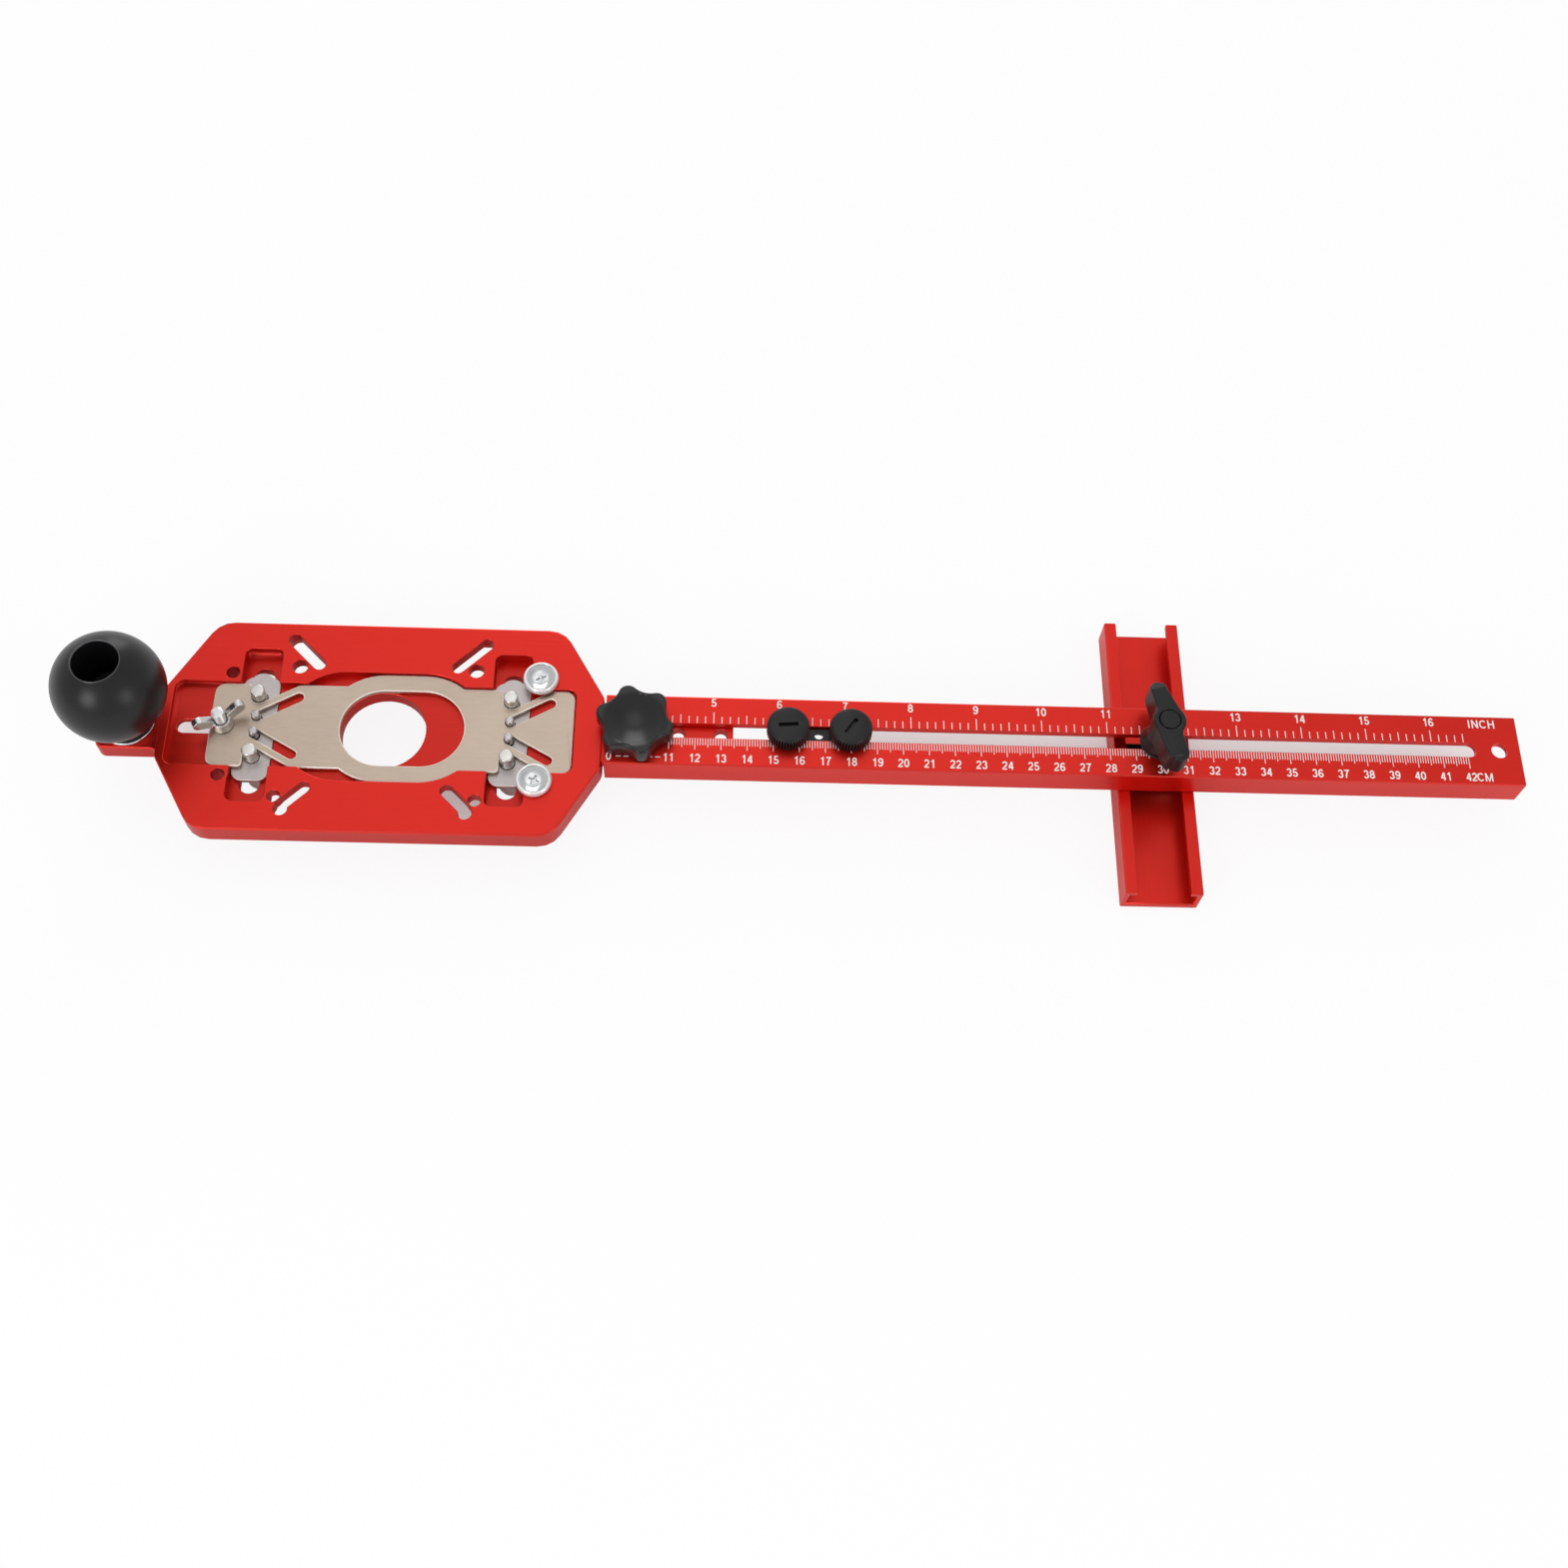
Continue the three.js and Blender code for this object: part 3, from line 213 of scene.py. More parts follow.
RED = metal("red_anodised", (0.68, 0.013, 0.005), (0.74, 0.017, 0.007), (0.36, 0.44),
            coat=0.25, metallic=0.82)
# The plate's recesses, holes and sides below its top get painted shade
RED_PLATE = metal("red_anodised_plate", (0.67, 0.013, 0.005), (0.73, 0.017, 0.007), (0.38, 0.46),
                  coat=0.25, metallic=0.82, painted_shade_below=PLATE_TOP - 0.5)
RED_ACROSS = metal("red_anodised_across", (0.67, 0.013, 0.005), (0.73, 0.017, 0.007), (0.36, 0.44),
                   DRAWN_ALONG_Y, coat=0.25, metallic=0.82)
# A lighter, pinker red: painted highlight on the broken edges of the red parts
RED_PAINTED_HIGHLIGHT = metal("red_anodised_painted_highlight", (0.70, 0.034, 0.024), (0.76, 0.046, 0.034), (0.30, 0.36),
                 coat=0.25)
SLIDE_STEEL = metal("satin_stainless", (0.47, 0.378, 0.303), (0.565, 0.462, 0.373), (0.30, 0.40),
                    BRUSHED, 0.12, cloud=45.0)
# A pale steel: painted highlight on the broken edges of the steel plates
STEEL_PAINTED_HIGHLIGHT = metal("steel_painted_highlight", (0.88, 0.80, 0.70), (0.95, 0.88, 0.79), (0.25, 0.35),
                   EVEN, metallic=0.15)
GREY_STEEL = metal("grey_steel", (0.46, 0.42, 0.41), (0.60, 0.55, 0.54), (0.36, 0.48),
                   EVEN, 0.3, cloud=260.0)
PIN_STEEL = metal("pin_steel", (0.46, 0.42, 0.42), (0.58, 0.54, 0.54), (0.15, 0.22), FINE, 0.15)
ZINC = metal("zinc_plate", (0.74, 0.75, 0.76), (0.86, 0.86, 0.87), (0.14, 0.22), FINE, 0.15)
TURNED = metal("turned_zinc", (0.60, 0.61, 0.62), (0.72, 0.72, 0.73), (0.12, 0.18), FINE, 0.1,
               turned=True)
BOLT_ZINC = metal("bolt_zinc", (0.62, 0.60, 0.58), (0.75, 0.73, 0.71), (0.24, 0.32), FINE, 0.2)
# A whiter, less metallic zinc: painted highlight on screw rims and the lock bolt's end
ZINC_PAINTED_HIGHLIGHT = metal("zinc_painted_highlight", (0.84, 0.84, 0.84), (0.92, 0.92, 0.92), (0.22, 0.3), FINE, 0.1,
                 metallic=0.45)
CAST_ZINC = metal("cast_zinc", (0.58, 0.585, 0.59), (0.74, 0.74, 0.745), (0.22, 0.30), EVEN, 0.35)
BLACK_STEEL = metal("black_oxide", (0.012, 0.011, 0.011), (0.03, 0.028, 0.027), (0.35, 0.5),
                    FINE, 0.2, metallic=0.4)
BLACK = plastic("black_plastic", (0.007, 0.007, 0.0075), (0.010, 0.010, 0.011), (0.30, 0.36), 0.32)
STAR_BLACK = plastic("star_black", (0.007, 0.007, 0.0075), (0.010, 0.010, 0.011), (0.22, 0.27),
                     0.42)
BALL_BLACK = plastic("ball_black", (0.006, 0.006, 0.007), (0.009, 0.009, 0.010), (0.29, 0.33),
                     0.34, 3500.0, 0.12)
# A lighter black: painted highlight on the ball's bore rim
BLACK_PAINTED_HIGHLIGHT = plastic("black_painted_highlight", (0.05, 0.05, 0.052), (0.08, 0.08, 0.082), (0.25, 0.35), 0.5)
WHITE = plastic("scale_white", (0.90, 0.87, 0.86), (0.95, 0.93, 0.92), (0.5, 0.6), 0.5,
                3000.0, 0.1)


# Meshes
def new_object(name, mesh):
    piece = bpy.data.objects.new(name, mesh)
    bpy.context.scene.collection.objects.link(piece)
    return piece


def finish_piece(name, work, material, body, replaced=(), smooth=True, angle=35.0):
    """The bmesh, drawn in millimetres from the bit's axis, as a piece of the part."""
    bmesh.ops.recalc_face_normals(work, faces=work.faces)
    for face in work.faces:
        face.smooth = smooth
    mesh = bpy.data.meshes.new(name)
    work.to_mesh(mesh)
    work.free()
    mesh.transform(Matrix.Translation(ORIGIN) @ Matrix.Scale(MM, 4))
    mesh.materials.append(material)
    if smooth:
        mesh.set_sharp_from_angle(angle=math.radians(angle))
    piece = new_object(name, mesh)
    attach(piece, body)
    if replaced:
        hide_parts(*replaced)
    return piece


def paint(piece, material, x, y, inner, outer, above=0.0):
    """Another material on the faces between two distances from an upright axis, above a height."""
    piece.data.materials.append(material)
    axis = ORIGIN + Vector((x * MM, y * MM, 0))
    for face in piece.data.polygons:
        away = math.hypot(face.center.x - axis.x, face.center.y - axis.y) / MM
        if inner < away < outer and face.center.z > above * MM:
            face.material_index = len(piece.data.materials) - 1


def looks_out(tree, edge, wall):
    """Whether nothing of the piece lies before this wall, so that its edge is an outer one."""
    ahead, inside, far = 1e-4, 2e-4, 0.5
    middle = (edge.verts[0].co + edge.verts[1].co) / 2
    inwards = (wall.calc_center_median() - middle).normalized()
    start = middle + wall.normal * ahead + inwards * inside
    return tree.ray_cast(start, wall.normal, far)[0] is None


def weigh_edges(work, outer, inner, corners):
    """Bevel weights for outer edges, edges of slots and corners at the Y ends, none in hollows."""
    wall_lean, upright_lean = 0.7, 0.9
    ends = [pick(vertex.co.y for vertex in work.verts) for pick in (min, max)]
    tree = BVHTree.FromBMesh(work)
    layer = work.edges.layers.float.new("bevel_weight_edge")
    for edge in work.edges:
        if len(edge.link_faces) != 2 or not edge.is_convex:
            continue
        if edge.calc_face_angle(0.0) < math.radians(SHARP_DEGREES):
            continue
        walls = [face for face in edge.link_faces if abs(face.normal.z) < wall_lean]
        outermost = any(looks_out(tree, edge, wall) for wall in walls)
        edge[layer] = outer if outermost else inner
        along = (edge.verts[0].co - edge.verts[1].co).normalized()
        if not corners or abs(along.z) <= upright_lean:
            continue
        for end in ends:
            if all(abs(vertex.co.y - end) < TINY for vertex in edge.verts):
                edge[layer] = corners


def from_node(node, material, body, outer, inner, segments=2, edge=None, corners=0.0):
    """A finer copy of a machined node: its flat faces made whole and its edges broken.
    An edge material, lighter than the body, paints a highlight on the broken edges."""
    work = bmesh.new()
    work.from_mesh(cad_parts[node].data)
    bmesh.ops.remove_doubles(work, verts=work.verts, dist=WELD)
    bmesh.ops.dissolve_limit(work, angle_limit=FLAT, verts=work.verts, edges=work.edges)
    width = max(outer, corners)
    weigh_edges(work, outer / width, inner / width, corners / width)
    for face in work.faces:
        face.smooth = True
    mesh = bpy.data.meshes.new(node + "_finished")
    work.to_mesh(mesh)
    work.free()
    mesh.materials.append(material)
    if edge is not None:
        mesh.materials.append(edge)
    mesh.set_sharp_from_angle(angle=math.radians(SHARP_DEGREES))
    piece = new_object(node + "_finished", mesh)
    bevel = piece.modifiers.new("edges", "BEVEL")
    bevel.width = width * MM
    bevel.segments = segments
    bevel.limit_method = "WEIGHT"
    # The bevel faces take the lighter edge material: a painted highlight
    bevel.material = 1 if edge is not None else -1
    bevel.use_clamp_overlap = False
    normals = piece.modifiers.new("normals", "WEIGHTED_NORMAL")
    normals.weight = 100
    normals.keep_sharp = True
    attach(piece, body)
    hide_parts(node)


def join_rings(work, low, high):
    """Faces between two rings of points; a ring of one point is a tip."""
    count = max(len(low), len(high))
    if count == 1:
        return
    for k in range(count):
        n = (k + 1) % count
        if len(low) == 1:
            work.faces.new((low[0], high[n], high[k]))
        elif len(high) == 1:
            work.faces.new((low[k], low[n], high[0]))
        else:
            work.faces.new((low[k], low[n], high[n], high[k]))


def at(value, angle):
    """A length that may be a number or a function of the angle."""
    return value(angle) if callable(value) else value


def rings_solid(levels, segments, x, y, closed=False):
    """A body from stacked rings: each level is a radius, or None for a tip, and a height.
    A closed one also joins its last ring to its first, as a body with a bore does."""
    work = bmesh.new()
    rings = []
    for radius, height in levels:
        if radius is None:
            rings.append([work.verts.new((x, y, height))])
            continue
        ring = []
        for k in range(segments):
            angle = TURN * k / segments
            out = at(radius, angle)
            place = (x + out * math.cos(angle), y + out * math.sin(angle), at(height, angle))
            ring.append(work.verts.new(place))
        rings.append(ring)
    for low, high in zip(rings, rings[1:]):
        join_rings(work, low, high)
    if closed and len(rings[0]) > 1:
        join_rings(work, rings[-1], rings[0])
    return work


def lathe(profile, x, y, segments):
    """A turned body about the upright through x and y, from radius and height pairs."""
    levels = [(None if radius < TINY else radius, height) for radius, height in profile]
    return rings_solid(levels, segments, x, y, closed=True)


def rounded(profile, radius, steps):
    """A profile with each corner replaced by a short arc; its two ends stay."""
    most, least = 0.45, 1e-4
    result = [profile[0]]
    for before, here, after in zip(profile, profile[1:], profile[2:]):
        p, q, r = Vector(before), Vector(here), Vector(after)
        reach = min(radius, (p - q).length * most, (r - q).length * most)
        if reach < least:
            result.append(here)
            continue
        start = q + (p - q).normalized() * reach
        end = q + (r - q).normalized() * reach
        for step in range(steps + 1):
            t = step / steps
            point = (1 - t) ** 2 * start + 2 * t * (1 - t) * q + t ** 2 * end
            result.append((point.x, point.y))
    result.append(profile[-1])
    return result


def threaded(radius, pitch, depth, bottom, top, x, segments=40, tip=0.5):
    """A screw thread: the radius follows a triangle wave along the height and round the turn."""
    rings_per_pitch, fewest = 8, 4
    work = bmesh.new()
    steps = max(fewest, int((top - bottom) / pitch * rings_per_pitch))
    rings = []
    for step in range(steps + 1):
        height = bottom + (top - bottom) * step / steps
        end = max(0.0, tip - (top - height))
        ring = []
        for k in range(segments):
            turn = k / segments
            phase = ((height - bottom) / pitch - turn) % 1.0
            out = radius - max(depth * abs(2 * phase - 1), end)
            angle = TURN * turn
            ring.append(work.verts.new((x + out * math.cos(angle), out * math.sin(angle), height)))
        rings.append(ring)
    for low, high in zip(rings, rings[1:]):
        join_rings(work, low, high)
    work.faces.new(list(reversed(rings[0])))
    work.faces.new(rings[-1])
    return work


def prism(points, low, high):
    """An upright body over a plan, given counterclockwise."""
    work = bmesh.new()
    rings = [[work.verts.new((x, y, z)) for x, y in points] for z in (low, high)]
    join_rings(work, *rings)
    work.faces.new(list(reversed(rings[0])))
    work.faces.new(rings[1])
    return work


def block(x0, x1, y0, y1, z0, z1, turn=0.0, about=(0.0, 0.0)):
    """A box between three pairs of planes, then turned about an upright axis."""
    work = bmesh.new()
    bmesh.ops.create_cube(work, size=1.0)
    scale = Matrix.Diagonal(((x1 - x0), (y1 - y0), (z1 - z0), 1))
    middle = Matrix.Translation(((x0 + x1) / 2, (y0 + y1) / 2, (z0 + z1) / 2))
    away = Matrix.Translation((*about, 0))
    spin = away @ Matrix.Rotation(turn, 4, "Z") @ away.inverted()
    work.transform(spin @ middle @ scale)
    return work


def merge(*works):
    """Several bmeshes as one."""
    result = bmesh.new()
    for work in works:
        mesh = bpy.data.meshes.new("part")
        work.to_mesh(mesh)
        work.free()
        result.from_mesh(mesh)
        bpy.data.meshes.remove(mesh)
    return result


def cut(work, tool):
    """One bmesh less another, by an exact boolean."""
    objects = []
    for part in (work, tool):
        bmesh.ops.recalc_face_normals(part, faces=part.faces)
        mesh = bpy.data.meshes.new("cut")
        part.to_mesh(mesh)
        part.free()
        objects.append(new_object("cut", mesh))
    modifier = objects[0].modifiers.new("cut", "BOOLEAN")
    modifier.operation = "DIFFERENCE"
    modifier.solver = "EXACT"
    modifier.object = objects[1]
    bpy.context.view_layer.update()
    evaluated = objects[0].evaluated_get(bpy.context.evaluated_depsgraph_get())
    mesh = bpy.data.meshes.new_from_object(evaluated)
    result = bmesh.new()
    result.from_mesh(mesh)
    for item in objects:
        data = item.data
        bpy.data.objects.remove(item)
        bpy.data.meshes.remove(data)
    bpy.data.meshes.remove(mesh)
    return result


# Scale numbers, drawn as strokes: a glyph is a width and the paths of its strokes, one unit high
HALF_STROKE = 0.145 / 2
GLYPH_GAP = 0.1
LABEL_HEIGHT = 3.55
STROKE_RISE = 0.002


def bow(x, y, across, up, start, end, steps=14):
    """Points of an elliptic arc, in degrees."""
    result = []
    for step in range(steps + 1):
        angle = math.radians(start + (end - start) * step / steps)
        result.append((x + across * math.cos(angle), y + up * math.sin(angle)))
    return result


def glyphs():
    low, high = HALF_STROKE, 1 - HALF_STROKE
    wide = 0.55
    six = [
        bow(0.275, 0.305, 0.205, 0.24, 90, 450, 24),
        [(0.465, 0.78), (0.42, 0.88), (0.36, 0.925), (0.29, high), (0.20, 0.90), (0.13, 0.80),
         (0.085, 0.65), (0.068, 0.48), (0.07, 0.305)],
    ]
    digits = (
        [bow(0.275, 0.5, 0.208, 0.435, 90, 450, 28)],
        [[(0.345, 0), (0.345, 1)], [(0.12, 0.755), (0.22, 0.785), (0.29, 0.84), (0.335, 0.95)]],
        [bow(0.275, 0.70, 0.2, 0.235, 170, -25) + [
            (0.42, 0.50), (0.28, 0.36), (0.15, 0.24), (0.085, 0.14), (0.07, low), (0.50, low)]],
        [bow(0.265, 0.72, 0.185, 0.215, 165, -80), bow(0.265, 0.29, 0.21, 0.225, 85, -165)],
        [[(0.405, 0), (0.405, 0.95)], [(0.375, 0.95), (0.07, 0.30)],
         [(0.02, 0.285), (0.54, 0.285)]],
        [[(0.47, high), (0.15, high), (0.095, 0.47)], bow(0.27, 0.31, 0.21, 0.245, 145, -160)],
        six,
        [[(0.04, high), (0.49, high), (0.36, 0.71), (0.26, 0.40), (0.21, 0)]],
        [bow(0.275, 0.725, 0.172, 0.21, 90, 450, 22), bow(0.275, 0.29, 0.208, 0.225, 90, 450, 24)],
        [[(wide - x, 1 - y) for x, y in path] for path in six],
    )
    result = {str(digit): (wide, paths) for digit, paths in enumerate(digits)}
    result.update({
        "C": (0.64, [bow(0.335, 0.5, 0.265, 0.435, 40, 320, 26)]),
        "H": (0.58, [[(low, 0), (low, 1)], [(0.515, 0), (0.515, 1)], [(low, 0.52), (0.515, 0.52)]]),
        "I": (0.2, [[(low, 0), (low, 1)]]),
        "M": (0.72, [[(low, 0), (low, 1)], [(0.085, 0.96), (0.36, 0.05), (0.635, 0.96)],
                     [(0.655, 0), (0.655, 1)]]),
        "N": (0.58, [[(low, 0), (low, 1)], [(0.085, 0.96), (0.495, 0.04)],
                     [(0.515, 0), (0.515, 1)]]),
    })
    return result


GLYPHS = glyphs()


def add_stroke(work, path, half, level):
    """A flat band of even width along a path, with mitred bends."""
    points = [Vector(point) for point in path]
    closed = (points[0] - points[-1]).length < TINY
    if closed:
        points.pop()
    sides = []
    count = len(points)
    for k, point in enumerate(points):
        before = points[k - 1] if closed or k > 0 else None
        after = points[(k + 1) % count] if closed or k < count - 1 else None
        first = ((point - before) if before is not None else (after - point)).normalized()
        second = (after - point).normalized() if after is not None else first
        normal = Vector((-first.y - second.y, first.x + second.x)).normalized()
        spread = half / max(0.5, normal.dot(Vector((-first.y, first.x))))
        offsets = (normal * spread, normal * -spread)
        sides.append([work.verts.new((*(point + offset), level)) for offset in offsets])
    for k in range(count if closed else count - 1):
        left, right = sides[k], sides[(k + 1) % count]
        work.faces.new((left[0], left[1], right[1], right[0]))


def add_label(work, text, x, y, width):
    """Centres a label on x, its foot on y, drawn to a full width."""
    full = sum(GLYPHS[sign][0] for sign in text) + GLYPH_GAP * (len(text) - 1)
    left = x - width / 2
    across = width / full
    level = 0.0
    for sign in text:
        advance, paths = GLYPHS[sign]
        for path in paths:
            placed = [(left + px * across, y + py * LABEL_HEIGHT) for px, py in path]
            add_stroke(work, placed, HALF_STROKE * LABEL_HEIGHT, level)
            level += STROKE_RISE
        left += (advance + GLYPH_GAP) * across


def add_mark(work, x0, x1, y0, y1):
    corners = [work.verts.new(c) for c in ((x0, y0, 0), (x1, y0, 0), (x1, y1, 0), (x0, y1, 0))]
    work.faces.new(corners)


def raise_marks(work):
    """Gives flat marks a thin body through the ruler's top; each keeps its own small rise."""
    root, rise = 0.02, 0.015
    levels = [vertex.co.z for vertex in work.verts]
    for vertex in work.verts:
        vertex.co.z = RULER_TOP - root
    grown = bmesh.ops.extrude_face_region(work, geom=list(work.faces))
    tops = [item for item in grown["geom"] if isinstance(item, bmesh.types.BMVert)]
    own = {(round(v.co.x, 5), round(v.co.y, 5)): level for v, level in zip(work.verts, levels)}
    for vertex in tops:
        place = (round(vertex.co.x, 5), round(vertex.co.y, 5))
        vertex.co.z = RULER_TOP + rise + own.get(place, 0.0)
    return work


def mark_reach(number, reaches):
    """How far a mark reaches: the first of the reaches whose step divides its number."""
    return next(reach for step, reach in reaches if number % step == 0)


# The ruler's marks: half a width, where they start, and how far those of each step reach
MILLIMETRE_HALF, MILLIMETRE_START = 0.135, -3.3
MILLIMETRE_REACHES = ((10, 8.2), (5, 7.2), (1, 6.3))
EIGHTH_HALF, EIGHTH_START = 0.15, 3.35
EIGHTH_REACHES = ((8, 8.2), (4, 7.0), (1, 6.3))
DASHES, DASH_START, DASH_PITCH, DASH_LENGTH = 6, 90.0, 3, 2
DASH_FRONT, DASH_REAR = -12.0, -11.65


def ruler_scale():
    one_digit, two_digits = 2.0, 4.25
    centimetre_foot, inch_foot, inch_slope, inch_shift = -13.6, 10.1, 0.1, 0.1
    marks = bmesh.new()
    for x in range(110, 421):
        reach = mark_reach(x, MILLIMETRE_REACHES)
        add_mark(marks, x - MILLIMETRE_HALF, x + MILLIMETRE_HALF, -reach, MILLIMETRE_START)
    for eighth in range(34, 133):
        x = eighth * INCH / 8
        reach = mark_reach(eighth, EIGHTH_REACHES)
        add_mark(marks, x - EIGHTH_HALF, x + EIGHTH_HALF, EIGHTH_START, reach)
    for dash in range(DASHES):
        x = DASH_START + DASH_PITCH * dash
        add_mark(marks, x, x + DASH_LENGTH, DASH_FRONT, DASH_REAR)
    letters = bmesh.new()
    for centimetre in range(11, 43):
        add_label(letters, str(centimetre), centimetre * 10, centimetre_foot, two_digits)
    for inch in range(5, 17):
        foot = inch_foot + inch_slope * max(0, 11 - inch)
        width = one_digit if inch < 10 else two_digits
        add_label(letters, str(inch), inch * INCH - inch_shift, foot, width)
    add_label(letters, "0", 87.3, centimetre_foot, one_digit)
    add_label(letters, "CM", 425.25, centimetre_foot, 6.2)
    add_label(letters, "INCH", 427.3, 9.75, 10.4)
    scale = merge(raise_marks(marks), raise_marks(letters))
    finish_piece("ruler_scale", scale, WHITE, "ruler", smooth=False)


# Machined pieces
def machined():
    # The edge materials paint highlights along the broken edges
    from_node("base_plate", RED_PLATE, "base",
              outer=0.3, inner=0.22, edge=RED_PAINTED_HIGHLIGHT)
    from_node("ruler", RED, "ruler",
              outer=0.25, inner=0.16, edge=RED_PAINTED_HIGHLIGHT)
    from_node("fence", RED_ACROSS, "fence",
              outer=0.35, inner=0.25, segments=3, edge=RED_PAINTED_HIGHLIGHT, corners=0.6)
    from_node("slide_plate", SLIDE_STEEL, "slide",
              outer=0.45, inner=0.36, edge=STEEL_PAINTED_HIGHLIGHT)
    for node, body in (("pivot_slider", "pivot_slider"), ("fence_clamp_bolt", "fence_swivel"),
                       ("fence_clamp_washer", "fence_clamp")):
        from_node(node, BLACK_STEEL, body, outer=0.2, inner=0.15)
    for place in PLACES:
        from_node(place + "_carriage_plate", GREY_STEEL, place + "_carriage",
                  outer=0.22, inner=0.2, edge=STEEL_PAINTED_HIGHLIGHT)


def hole_webs():
    """The thin webs that keep the front router holes apart from the slots beside them."""
    web_x, web_y = 35.77, -32.32
    lean_x, lean_y = -3.66, -3.24
    half_thick, half_long, foot = 0.18, 0.75, 18.05
    head = PLATE_TOP - 0.03
    webs = []
    for side in (-1, 1):
        x, y = about = (side * web_x, web_y)
        lean = math.atan2(lean_y, side * lean_x)
        webs.append(block(x - half_thick, x + half_thick, y - half_long, y + half_long,
                          foot, head, lean, about))
    finish_piece("router_hole_webs", merge(*webs), RED_PLATE, "base",
                 smooth=False)


# Turned pieces, each from radius and height pairs
def carriage_turnings():
    pin_foot, pin_top = 17.6, SLIDE_TOP + 2.4
    pin = rounded([(0, pin_foot), (1.7, pin_foot), (1.7, pin_top), (0, pin_top)], 1.5, 8)
    post_top = SLIDE_TOP + 4.2
    post = rounded([
        (0, 0), (4.25, 0), (4.25, 1.8), (2.4, 1.8), (2.4, 13.1), (3.6, 13.1), (3.6, 17.3),
        (2.75, 17.3), (2.75, post_top - 0.4), (2.35, post_top), (0, post_top),
    ], 0.25, 3)
    roller = [(2.65, 2.1), (4.6, 2.1), (5, 2.5), (5, 12.4), (4.6, 12.8), (2.65, 12.8)]
    for place in PLACES:
        x = CARRIAGE_X if place.startswith("right") else -CARRIAGE_X
        side = 1 if place.endswith("rear") else -1
        body = place + "_carriage"
        finish_piece(place + "_drive_pin_finished", lathe(pin, x, side * DRIVE_PIN_Y, 40),
                     PIN_STEEL, body, [place + "_drive_pin"])
        finish_piece(place + "_guide_post_finished", lathe(post, x, side * GUIDE_POST_Y, 48),
                     BOLT_ZINC, body, [place + "_guide_post"])
        finish_piece(place + "_guide_roller_finished", lathe(roller, x, side * GUIDE_POST_Y, 64),
                     BOLT_ZINC, place + "_roller", [place + "_guide_roller"])


# Hold-down screws: the shank, the flange and its rolled rim, then a wavy dish and the middle
SCREW_SIDES = (
    (None, -8.2), (2.0, -8.2), (2.3, -7.9), (2.3, 0), (6.5, 0), (6.8, 0.15), (6.87, 0.6),
    (6.85, 1.3), (6.7, 1.9), (6.45, 2.25), (6.1, 2.45), (5.8, 2.42), (5.6, 2.2), (5.5, 1.75),
    (5.35, 1.75), (5.25, 2.02),
)
SCREW_DISH = ((4.7, 1.78, 0.05), (4.0, 1.55, 0.08), (3.2, 1.36, 0.1), (2.4, 1.24, 0.06))
SCREW_MIDDLE = ((1.3, 1.16), (None, 1.14))
# Inner and outer radius of the painted highlight on the screw rims
SCREW_PAINTED_RIM = (5.58, 7.0)


def hold_screws():
    foot = PLATE_TOP + HEAD_GAP
    face = foot + 1.2
    arm, half_wide, arm_depth, arm_degrees = 2.1, 0.45, 1.0, 24
    waves, wave_start = 3, 1.3
    pit = ((0, face - 1.1), (0.5, face - 0.9), (1.25, face + 0.1), (1.25, face + 1), (0, face + 1))

    def wavy(height, wave):
        return lambda angle: height - wave + wave * math.cos(waves * (angle + wave_start))

    levels = [(radius, foot + rise) for radius, rise in SCREW_SIDES]
    levels += [(radius, wavy(foot + rise, wave)) for radius, rise, wave in SCREW_DISH]
    levels += [(radius, foot + rise) for radius, rise in SCREW_MIDDLE]
    for side, place in ((-1, "front"), (1, "rear")):
        x, y = HOLD_SCREW_X, side * HOLD_SCREW_Y
        turn = math.radians(arm_degrees * side)
        work = rings_solid(levels, 96, x, y)
        for quarter in (0, math.pi / 2):
            work = cut(work, block(x - arm, x + arm, y - half_wide, y + half_wide,
                                   face - arm_depth, face + 2, turn + quarter, (x, y)))
        work = cut(work, lathe(pit, x, y, 24))
        screw = finish_piece(place + "_hold_down_screw_finished", work, TURNED, "base",
                             [place + "_hold_down_screw"])
        # The rim gets a painted highlight in whiter zinc
        paint(screw, ZINC_PAINTED_HIGHLIGHT, x, y, *SCREW_PAINTED_RIM)


def lock_parts():
    half_head, head_foot, head_top = 5.7, 13.6, 16.6
    end = SLIDE_TOP + 9.1
    head = block(LOCK_BOLT_X - half_head, LOCK_BOLT_X + half_head, -half_head, half_head,
                 head_foot, head_top)
    thread = threaded(2.5, pitch=0.8, depth=0.3, bottom=head_top, top=end, x=LOCK_BOLT_X, tip=0.2)
    bolt = finish_piece("lock_bolt_finished", merge(head, thread), BOLT_ZINC, "slide",
                        ["lock_bolt"], angle=50)
    # The bolt's end gets a painted highlight in whiter zinc
    paint(bolt, ZINC_PAINTED_HIGHLIGHT, LOCK_BOLT_X, 0, 0, 2.35, end - 0.1)


